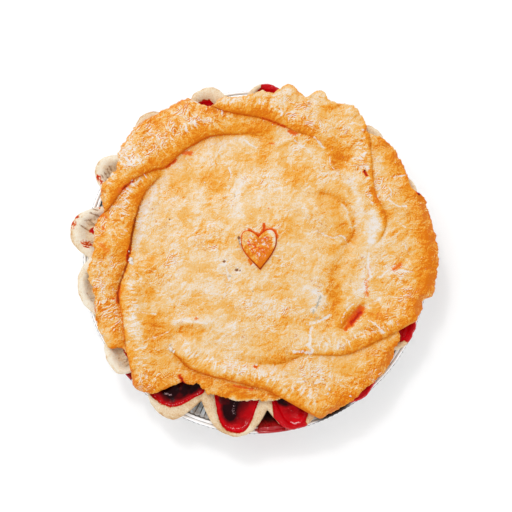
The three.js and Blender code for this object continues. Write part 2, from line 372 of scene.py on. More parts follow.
def makeGoldenCrust(name):
    material, tree, shader, place = newMaterial(name, **{"IOR": 1.13, "Coat Roughness": 0.25})
    marks = pastry(tree, place, pastryGroup)
    bake, rough = attribute(tree, "bake"), attribute(tree, "rough")
    # patches grow where the crust is paler
    flaky = mapRange(tree, weigh(tree, (marks["Patches"], 1.0), (bake, -0.16)), 0.36, 0.46)
    grain = times(tree, marks["Grain"], weigh(tree, (rough, 0.3), (flaky, 0.3), (1.0, 0.42)))
    # short pale strokes across the top of a roll: painted highlights
    placed = {
        "X": calculate(tree, "DIVIDE", attribute(tree, "alongFold"), 1.9),
        "Y": calculate(tree, "DIVIDE", attribute(tree, "overFold"), 5.0),
    }
    placed = addNode(tree, "ShaderNodeCombineXYZ", placed).outputs[0]
    strokes = mapRange(tree, noiseTexture(tree, placed, 1.0, 2.0, 0.9), 0.54, 0.61)
    strokes = times(tree, strokes, attribute(tree, "crest"))
    crestHighlights = calculate(tree, "MULTIPLY", strokes, mapRange(tree, bake, 0.7, 1.0, 1.0, 0.3), clamp=True)
    # painted light and shade on the lumps and wrinkles, stronger where the crust is rough
    lumps = times(tree, marks["Lump Shading"], mapRange(tree, rough, 0.0, 1.0, 2.1, 5.0))
    wrinkles = times(tree, marks["Shaded Wrinkles"], mapRange(tree, rough, 0.4, 1.0, 0.05, 1.05))
    base = [(bake, 1.0), (flaky, -0.2), (1.0, 0.125), (grain, 1.2)]
    tone = weigh(tree, *base, (crestHighlights, -0.4), (lumps, 1.0), (wrinkles, 1.0))
    colour = ramp(tree, tone, goldenTones)
    colour = mixColour(tree, times(tree, marks["Pores"], 0.7), colour, toLinear(216, 128, 50))
    crease, juice = grainy(tree, "crease", marks, 0.2), grainy(tree, "juice", marks, 0.4)
    crack = [(attribute(tree, "flakesAndGlints"), 0.95), (marks["Grain"], 1.3), (marks["Patches"], 1.2), (1.0, -0.6)]
    # each layer: what it follows, where that begins and is full, the layer's strength and its tone; the
    # crease, gap and split layers are painted shade, the crease partly browning, and the pale crack layer is
    # partly painted highlights
    for follows, low, high, strength, tone in (
        (crease, 0.25, 0.75, 1.0, (240, 98, 4)),
        (grainy(tree, "pit", marks, 0.8), 0.4, 0.55, 1.0, (150, 96, 60)),
        (juice, 0.1, 0.26, 1.0, ramp(tree, juice, seepTones)),
        (weigh(tree, *crack), 0.5, 0.7, 0.9, (243, 235, 228)),
        (grainy(tree, "split", marks, 1.6), 0.25, 0.9, 0.85, (176, 172, 160)),
        (grainy(tree, "gap", marks, 0.5), 0.25, 0.9, 0.95, (164, 62, 0)),
        (grainy(tree, "crease", marks, 0.6), 1.05, 1.4, 0.9, (140, 48, 8)),
    ):
        colour = paintOver(tree, colour, follows, low, high, strength, tone)
    dull = weigh(tree, (1.0, 0.45), (crestHighlights, -0.08), (juice, -0.15))
    glaze = weigh(tree, (flaky, 0.08), (rough, 0.08), (juice, -0.1), (crease, -0.3), (1.0, 0.06))
    glaze = calculate(tree, "MAXIMUM", glaze, 0.0)
    bump = bumpFrom(tree, marks["Height"], 0.45, 0.001)
    connect(tree, shader, {"Base Color": colour, "Roughness": dull, "Coat Weight": glaze, "Normal": bump})
    return material


def makePaleCrust():
    material, tree, shader, place = newMaterial("paleCrust", IOR=1.2)
    marks = pastry(tree, place, pastryGroup, **{"Patch Size": 0.008, "Grain Size": 0.0008})
    flaky = mapRange(tree, marks["Patches"], 0.44, 0.54)
    baked = [(attribute(tree, "bake"), 1.0), (flaky, -0.1), (marks["Grain"], 0.7), (marks["Pores"], 0.25)]
    colour = ramp(tree, weigh(tree, *baked, (1.0, 0.1)), paleTones)
    # painted shade in the furrows
    colour = paintOver(tree, colour, grainy(tree, "furrow", marks, 0.8), 0.3, 1.0, 0.9, (166, 122, 84))
    level = addNode(tree, "ShaderNodeMapping", {"Vector": place, "Scale": (1.0, 1.0, 0.15)}).outputs["Vector"]
    spilt = attribute(tree, "juice")
    juice = weigh(tree, (spilt, 1.0), (noiseTexture(tree, level, 700.0, 2.0), 1.1), (1.0, -0.5))
    share = times(tree, mapRange(tree, juice, 0.12, 0.3), mapRange(tree, spilt, 0.06, 0.2))
    colour = mixColour(tree, share, colour, ramp(tree, juice, stainTones))
    wet = mapRange(tree, juice, 0.35, 0.65, 0.62, 0.07)
    bump = bumpFrom(tree, marks["Height"], 0.6, 0.001)
    connect(tree, shader, {"Base Color": colour, "Roughness": wet, "Normal": bump})
    return material


def makeJuice():
    look = {"IOR": 1.12, "Coat Weight": 0.08, "Coat Roughness": 0.04, "Roughness": 0.05}
    material, tree, shader, place = newMaterial("cherryJuice", **look)
    waves = noiseTexture(tree, place, 420.0, 1.0)
    slow = noiseTexture(tree, place, 110.0, 2.0)
    uneven = mapRange(tree, slow, 0.35, 0.65, -0.16, 0.16)
    depthAndShade = calculate(tree, "ADD", attribute(tree, "depthAndShade"), uneven, clamp=True)
    # pale pink painted highlights and reflections on the juice
    paintedGlints = weigh(tree, (noiseTexture(tree, place, 1500.0, 1.0), 1.6), (attribute(tree, "paintedGlints"), 1.0))
    colour = paintOver(tree, ramp(tree, depthAndShade, juiceTones), paintedGlints, 1.3, 1.7, 0.75, (250, 208, 214))
    bump = bumpFrom(tree, weigh(tree, (waves, 0.22), (slow, 0.7)), 1.0, 0.0022)
    connect(tree, shader, {"Base Color": colour, "Normal": bump})
    return material


def makeFoil():
    material, tree, shader, place = newMaterial("brightFoil", **{"Emission Strength": 1.0})
    rough = noiseTexture(tree, place, 300.0, 3.0)
    juice, inner = attribute(tree, "juice"), attribute(tree, "inner")
    # painted shade in the rib grooves and in the rings beside the rolled rim
    dark = calculate(tree, "MAXIMUM", attribute(tree, "grooveShade"), attribute(tree, "rimShade"))
    grooveShade = weigh(tree, (dark, 0.75), (rough, 0.5))
    colour, wetColour = ramp(tree, grooveShade, foilTones), ramp(tree, juice, filmTones)
    colour = paintOver(tree, colour, juice, 0.1, 0.3, 1.0, wetColour)
    # darker on the rim at the lower right
    colour = mixColour(tree, attribute(tree, "rimDark"), colour, toLinear(44, 22, 14))
    shaded = times(tree, inner, mapRange(tree, juice, 0.0, 0.2, 0.35, 0.0))
    colour = mixColour(tree, shaded, colour, toLinear(120, 126, 132))
    metal = weigh(tree, (1.0, 0.15), (inner, 0.2))
    metal = times(tree, metal, mapRange(tree, juice, 0.1, 0.3, 1.0, 0.0))
    # painted light: the inside wall glows a little, standing in for the light the ribs throw at one another
    dry = mapRange(tree, juice, 0.0, 0.2, 1.0, 0.0)
    glow = times(tree, inner, mapRange(tree, grooveShade, 0.5, 0.8, 1.0, 0.0), dry)
    glow = times(tree, glow, mapRange(tree, rough, 0.4, 0.6, 0.2, 1.0))
    glow = mixColour(tree, glow, (0, 0, 0, 1), (0.15, 0.19, 0.22, 1))
    matt = [(mapRange(tree, juice, 0.1, 0.3, 0.26, 0.1), 1.0), (mapRange(tree, juice, 0.65, 0.85), 0.45)]
    wet = times(tree, noiseTexture(tree, place, 150.0, 2.0), mapRange(tree, juice, 0.2, 0.5))
    bump = bumpFrom(tree, weigh(tree, (rough, 0.12), (wet, 1.0)), 1.0, 0.002)
    connect(tree, shader, {"Base Color": colour, "Metallic": metal, "Emission Color": glow})
    connect(tree, shader, {"Roughness": weigh(tree, *matt), "Normal": bump})
    return material


def makeLooseFlake():
    material, tree, shader, _ = newMaterial("looseFlake", IOR=1.2, Roughness=0.5)
    tones = [(0.0, (242, 236, 230)), (0.5, (243, 219, 184)), (0.85, (243, 184, 104)), (0.95, (120, 16, 16))]
    connect(tree, shader, {"Base Color": ramp(tree, attribute(tree, "tone"), tones)})
    return material


goldenCrust = makeGoldenCrust("goldenCrust")
paleCrust = makePaleCrust()
cherryJuice = makeJuice()
brightFoil = makeFoil()
glazedPastry = makeGoldenCrust("glazedPastry")
looseFlake = makeLooseFlake()
print("materials made")


def finishPiece(piece, material, node=None):
    piece.data.materials.clear()
    piece.data.materials.append(material)
    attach(piece, "root")
    if node:
        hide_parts(node)
    return piece


crust = {
    "sectors": 1152,
    "valleyRadius": 98.0,
    "wideValleys": {15: 109.0, 0: 104.0},  # valleys after these flutes reach further out
    "innerRadius": 86.0,
    # a pool that isn't even: angles and radii along its shore, for the flute with this number
    "unevenPools": {
        12: [(103.6, 86.5), (104.6, 104.0), (106.0, 109.0), (108.0, 110.0), (110.0, 109.0), (111.4, 105.0),
             (112.6, 86.5)],
        2: [(-131.5, 97.0), (-129.6, 107.5), (-127.7, 110.2), (-123.0, 110.9), (-119.7, 109.3),
            (-117.0, 105.0), (-114.6, 99.0), (-111.8, 93.9), (-109.5, 86.5)],
    },
    # furrows in the hollowed flutes, pressed in and painted darker as shade
    "furrows": [
        [(-113.9, 22.4), (-110.6, 20.1), (-106.8, 18.2)], [(-110.6, 25.3), (-107.4, 25.9), (-103.6, 27.2)],
        [(-109.3, 23.3), (-106.1, 22.7)], [(-108.1, 30.5), (-103, 28.5), (-101, 27.9)],
        [(-106.1, 33), (-102.3, 31.8)], [(-107.6, 25.2), (-105.4, 22.2), (-103.6, 21.4)],
        [(-97.5, 60), (-95, 55)], [(-95.8, 61.5), (-93.3, 56)], [(-99, 57.5), (-96.8, 53.5)],
        [(-101, 56), (-98.5, 51.5)], [(-109, -22), (-105.5, -27)], [(-96, -52), (-90, -57)],
    ],
    # juice that ran over the rim: how far from the flute's tip it begins and ends (-1 to 1)
    "overflow": {4: (-0.75, 0.25), 5: (-0.46, 0.44), 6: (-0.22, 1.1), 11: (-0.6, 0.15)},
    "thickness": 3.5,
    "rimHeight": 35.8,
    "juiceLevel": 33.6,
    "rimCrest": 0.72,
    "scoop": 2.6,  # how far flutes without juice are hollowed
    "furrowWidth": 0.7,
    "furrowDepth": 0.7,
    "unevenness": 0.35,
    "overflowDrop": 1.8,  # how far the rim is lower where juice ran over
    "overflowFilm": 0.85,
    # juice that boiled over and stuck on the rim: x, y, size, strength
    "stuckJuice": [
        (-118.6, 23.4, 2.1, 0.32), (-116.6, 27.9, 1.8, 0.28), (-119.4, 20.0, 1.3, 0.28),
        (-113.0, 35.0, 1.2, 0.2), (-111.3, 11.6, 1.9, 0.5), (-108.8, 10.4, 1.7, 0.56),
        (-109.6, 8.4, 1.2, 0.5), (-106.6, 9.0, 1.0, 0.5), (-102.9, 35.6, 1.6, 0.36),
        (-102.3, 33.5, 1.2, 0.4), (-103.0, 54.0, 1.8, 0.5), (-101.0, 50.5, 1.6, 0.4),
        (-107.0, 60.0, 1.2, 0.3), (-95.5, 38.0, 1.2, 0.3), (-103.5, 36.5, 1.4, 0.4),
        (-105.6, 18.9, 1.7, 1.1), (-107.0, 18.6, 1.0, 1.0),
    ],
    # each flute: angle of its tip and of the valley after it, radius of its edge and of its pool
    "flutes": [
        (-171.0, -157.0, 117.5, 105.0),
        (-141.9, -135.5, 117.0, 104.0),
        (-119.7, -111.1, 117.9, 109.7),
        (-96.7, -85.6, 115.3, 112.0),
        (-76.3, -63.9, 113.0, 109.5),
        (-51.6, -38.0, 113.4, 110.0),
        (-25.7, -12.8, 113.5, 110.0),
        (0.0, 12.2, 115.5, 109.0),
        (24.5, 35.7, 115.1, 109.0),
        (46.9, 56.5, 117.3, 109.0),
        (66.0, 76.2, 116.5, 109.0),
        (86.4, 96.7, 117.2, 113.0),
        (107.0, 117.5, 118.8, 111.0),
        (128.1, 138.4, 121.0, 109.0),
        (148.8, 158.5, 121.5, 104.0),
        (170.3, 179.6, 122.8, 105.5),
    ],
}

tin = {
    "height": 30.0,
    "rimRadius": 112.5,
    "baseRadius": 86.0,
    "mouthRadius": 108.2,
    "foil": 0.25,
    "bead": 1.0,
    "ribs": 216,
    "ribDepth": 0.8,
    "rimShades": (16, 17, 18, 19, 20, 21, 26, 31),  # rings beside the rolled rim, painted dark as shade
    "outsideRings": 17,  # how many of its rings lie outside, below the rolled rim
    "ringsBeforeInside": 30,  # the next ones lie on its inside wall
    # just inside the rolled rim: radius and how far below the top
    "throat": [(110.3, 0.85), (109.9, 0.7), (109.2, 0.75), (108.7, 0.8), (108.4, 0.9)],
    "films": ((-84.6, 5.4), (-138.0, 2.2)),  # where juice ran over: angle and half width
    "rimDark": (-63.0, 7.0),  # where the rim is painted dark
}


def swelling(phase, bluntness, steepness):
    return (1 - np.abs(phase) ** bluntness) ** steepness


def fluteAt(angle):
    # for each angle: which flute, how far from its tip (-1 to 1), and the crust's outer and inner radius
    table = np.array(crust["flutes"])
    tips, after = table[:, 0], table[:, 1]
    degrees = np.degrees(angle)
    start = after[-1] - 360
    degrees = (degrees - start) % 360 + start
    index = np.searchsorted(after, degrees) % len(tips)
    before = np.append(after[-1] - 360, after[:-1])[index]
    tip, end = tips[index], after[index]
    phase = np.where(degrees < tip, (degrees - tip) / (tip - before), (degrees - tip) / (end - tip))
    phase = np.clip(phase, -1, 1)
    reach = np.array([crust["wideValleys"].get(i, crust["valleyRadius"]) for i in range(len(tips))])
    valley = np.where(phase < 0, reach[index - 1], reach[index])
    outer = mix(valley, table[index, 2], swelling(phase, 2.5, 1.3))
    inner = mix(crust["innerRadius"], table[index, 3], swelling(phase, 3, 3.6))
    for number, shore in crust["unevenPools"].items():
        angles, radii = np.array(shore, float).T
        uneven = np.interp(degrees, angles, radii, left=crust["innerRadius"], right=crust["innerRadius"])
        inner = np.where(index == number, uneven, inner)
    return index, phase, outer, inner


def tinRadius(height):
    floor = tin["foil"]
    share = (height - floor) / (tin["height"] - tin["bead"] - floor)
    return mix(tin["baseRadius"] - 0.6, tin["mouthRadius"], share)


def makeBottomCrust():
    angle = np.linspace(-np.pi, np.pi, crust["sectors"], endpoint=False)
    index, phase, outer, inner = fluteAt(angle)
    outer = outer - 0.5 + 0.5 * fractal(110 * np.cos(angle), 110 * np.sin(angle), 6.0, 3)
    floor = tin["foil"] + 0.3
    level = crust["juiceLevel"]
    top = crust["rimHeight"] + 0.5 * fractal(60 * np.cos(angle), 60 * np.sin(angle), 9.0, 2)
    for number, (low, high) in crust["overflow"].items():
        top = top - crust["overflowDrop"] * (index == number) * between(low, high, 0.1, 0.05, phase)
    shoreAtTip = np.array(crust["flutes"])[index, 3]
    scoop = crust["scoop"] * smooth(109.5, 105, shoreAtTip) * swelling(phase, 2, 1)
    overRim = tin["height"] + 0.1

    def wall(height, gap=0.3):
        return np.minimum(tinRadius(height) - gap, outer)

    def ring(radius, height):
        return np.stack([np.broadcast_to(radius, angle.shape), np.broadcast_to(height, angle.shape)], 1)

    controls = [
        ring(60.0, floor),
        ring(tinRadius(floor) - 0.8, floor),
        ring(wall(6.0), 6.0),
        ring(wall(14.0), 14.0),
        ring(wall(22.0), 22.0),
        ring(wall(28.0), 28.6),
        ring(np.maximum(wall(28.2), np.minimum(outer - 2.5, 112.4)), overRim + 0.2),
        ring(outer - 0.7, mix(overRim, top, 0.2)),
        ring(outer, mix(overRim, top, 0.5)),
        ring(outer - 0.8, mix(overRim, top, 0.86)),
        ring(mix(inner, outer, crust["rimCrest"] - 0.02 * scoop), top),
        ring(mix(inner, outer, 0.35 - 0.01 * scoop), mix(level, top, 0.75) - 1.2 * scoop),
        ring(inner, level - 0.1),
        ring(inner - 1.2, level - 2.4),
        ring(mix(inner, crust["innerRadius"], 0.3) - 1.0, level - 4.4),
        ring(mix(inner, crust["innerRadius"], 0.7), 27.0),
        ring(84.0, 24.0),
        ring(79.5, floor + crust["thickness"] + 3),
        ring(70.0, floor + crust["thickness"]),
    ]
    rings = smoothRings(controls, 3)
    points = np.concatenate([around(angle, r[:, 0], r[:, 1]) for r in rings])
    x, y, z = points.T  # views, so that a change of z moves the points
    away = np.hypot(x, y)
    rough = fractal(x + z, y - z, 5.0, 3)
    rimX, rimY = np.tile(110 * np.cos(angle), len(rings)), np.tile(110 * np.sin(angle), len(rings))
    folded = 1 - np.abs(fractal(rimX + 0.2 * away, rimY, 3.2, 2)) * 3.2
    furrow = np.clip(folded, 0, 1) * np.tile(scoop, len(rings)) / crust["scoop"]
    furrow = furrow * smooth(31, 33, z) * (1 - smooth(0.35, 0.6, (away - 104) / 12))
    strokes = [(1, crust["furrowWidth"], path) for path in crust["furrows"]]
    furrow = np.maximum(furrow, strongest(strokes, x, y) * smooth(31, 33, z))
    z += (crust["unevenness"] * rough - crust["furrowDepth"] * furrow) * smooth(28, 33, z)
    juice = np.zeros(len(points))
    for spotX, spotY, size, strength in crust["stuckJuice"]:
        spread = np.exp(-((x - spotX) ** 2 + (y - spotY) ** 2) / size**2)
        juice = np.maximum(juice, strength * spread * (1 + 0.6 * rough))
    # paler towards the left; the back rims are painted paler still, as painted light
    bake = 0.3 + 0.14 * fractal(x, y, 14.0, 3) - 0.3 * smooth(-50, -90, x)
    bake = bake - 0.16 * smooth(70, 95, y) * smooth(-70, -50, x)
    sections = len(rings)
    # browner low on the outer wall and at the outer edge, partly toasting and partly painted shade; browner
    # in the hollowed flutes, as painted shade
    lowerShadeAndToast = smooth(0.15, 0.75, (35 - z) / 5) * smooth(100, 112, away)
    edgeToastAndShade = smooth(2.2, 0.2, np.tile(outer, sections) - away) * smooth(112, 118, away)
    flute, place, rim, shore = [np.tile(v, sections) for v in (index, phase, outer, inner)]
    hollowShade = np.tile(scoop, sections) / crust["scoop"] * smooth(0.5, 0.3, (away - shore) / (rim - shore))
    hollowShade = hollowShade * smooth(29, 31, z)
    bake = bake + 0.22 * lowerShadeAndToast + 0.5 * edgeToastAndShade * (0.6 + rough) + 0.2 * hollowShade
    for number, (low, high) in crust["overflow"].items():
        film = (flute == number) * between(low, high, 0.06, 0.02, place)
        film = film * smooth(shore - 1.5, shore, away) * smooth(30.0, 31.5, z)
        juice = np.maximum(juice, crust["overflowFilm"] * film)
    lip = np.exp(-((away - shore) / 0.8) ** 2) * smooth(32.8, 33.6, z)
    juice = np.maximum(juice, 0.65 * lip * (shore > 100))
    values = {"bake": bake, "juice": juice, "furrow": furrow}
    piece = closedRings("flutedCrust", np.split(points, sections), values)
    return finishPiece(piece, paleCrust, "bottom_crust")


filling = {
    # how far in from the shore, how far below it, and how deep and dark the juice is there
    "surface": [
        (0.2, 0.0, 0.0), (0.7, 0.45, 0.05), (1.4, 0.8, 0.12), (2.4, 1.05, 0.24), (3.8, 1.2, 0.42),
        (5.4, 1.25, 0.62), (7.4, 1.25, 0.82), (10.0, 1.2, 0.95), (13.0, 1.0, 1.0),
    ],
    "swell": 0.6,
    "underCrust": [(70.0, 34.5), (40.0, 37.0), (15.0, 38.0)],  # radius and height under the top crust
    # darker places in the pools, deeper juice as well as painted shade under the top crust's edge: middle and
    # reach
    "dark": [
        (-57, -90, 18, 9), (-46, -84, 13, 5), (-17.5, -99, 6, 8), (-17, -91, 9, 4), (18, -92, 7, 2.4),
        (38, -96, 9, 4.5), (-38, 100, 8, 4),
    ],
    # painted highlights and reflections on the juice: how much, how wide, along which points
    "paintedGlints": [
        (0.5, 0.7, [(-65.6, -87.6), (-60.2, -92.2), (-53.1, -94.0), (-44, -90.8), (-35.2, -85.6)]),
        (0.62, 0.7, [(-19.3, -107.3), (-15.6, -109.0), (-11, -109.2), (-6.8, -107.3), (-4.8, -104.8)]),
        (0.5, 1.5, [(-14.8, -95.0), (-14.2, -99.5)]), (0.72, 1.1, [(-58.4, -86.8), (-54.6, -87.6)]),
        (0.5, 0.8, [(-50.4, -85.4)]),
        (1.0, 0.6, [(22.8, -105.0), (25.0, -105.9), (27.2, -105.2), (29.4, -105.9)]),
        (0.5, 0.6, [(20, -96.2), (24.5, -98.2)]), (0.6, 0.6, [(30.4, -99)]),
    ],
    # cherries that lift the surface: middle, reach and height
    "cherries": [
        (-16.5, -93.5, 2.2, 4.5, 1.0), (-57.5, -85.5, 4.0, 2.0, 0.9), (-48, -84, 4.0, 2.0, 0.6),
        (27, -103, 4.0, 2.0, 0.6),
    ],
}


def makeFilling():
    angle = np.linspace(-np.pi, np.pi, crust["sectors"], endpoint=False)
    _, _, _, inner = fluteAt(angle)
    level = crust["juiceLevel"]
    rings, depthAndShade = [], []

    def ring(radius, height, depth):
        rings.append(around(angle, radius, height))
        depthAndShade.append(np.broadcast_to(depth, angle.shape))

    ring(40.0, 5.0, 1.0)
    ring(76.0, 5.2, 1.0)
    ring(83.0, 24.0, 1.0)
    ring(np.maximum(inner - 8, 83.5), 26.0, 1.0)
    ring(inner - 0.9, level - 2.6, 0.0)
    ring(inner + 0.2, level - 0.8, 0.0)
    ring(inner + 0.5, level + 0.12, 0.0)
    hidden = len(rings)
    table = np.array(filling["surface"])
    steps = np.linspace(0, len(table) - 1, 3 * len(table) - 2)
    surface = np.stack([np.interp(steps, np.arange(len(table)), column) for column in table.T], 1)
    for inward, sink, depth in surface:
        ring(np.maximum(inner - inward, 82.0 - inward * 0.2), level - sink, depth)
    for radius, height in filling["underCrust"]:
        ring(radius, height, 1.0)
    for i in range(hidden, len(rings)):
        one, depth = rings[i], depthAndShade[i]
        x, y = one[:, 0], one[:, 1]
        one[:, 2] += filling["swell"] * fractal(x, y, 7.0, 2) * np.minimum(depth * 3, 1)
        # darker further in under the top crust, and less dark towards the upper right: partly deeper juice,
        # partly painted shade
        dark = smooth(93, 87, np.hypot(x, y))
        for middleX, middleY, wide, high in filling["dark"]:
            spread = ((x - middleX) / wide) ** 2 + ((y - middleY) / high) ** 2
            dark = np.maximum(dark, np.exp(-spread))
        dark = (0.25 + 1.5 * dark * (1 + 0.3 * fractal(x, y, 5.0, 2))) * (1 - 0.5 * smooth(20, 70, x + y))
        depthAndShade[i] = np.minimum(depth * dark, 1)
        for middleX, middleY, wide, high, lift in filling["cherries"]:
            near = ((x - middleX) / wide) ** 2 + ((y - middleY) / high) ** 2
            one[:, 2] += lift * np.exp(-near) * (np.hypot(x, y) > 86)
    points = np.concatenate(rings)
    paintedGlints = strongest(filling["paintedGlints"], points[:, 0], points[:, 1])
    piece = closedRings("cherryFilling", rings, {"depthAndShade": np.concatenate(depthAndShade), "paintedGlints": paintedGlints})
    return finishPiece(piece, cherryJuice, "filling")


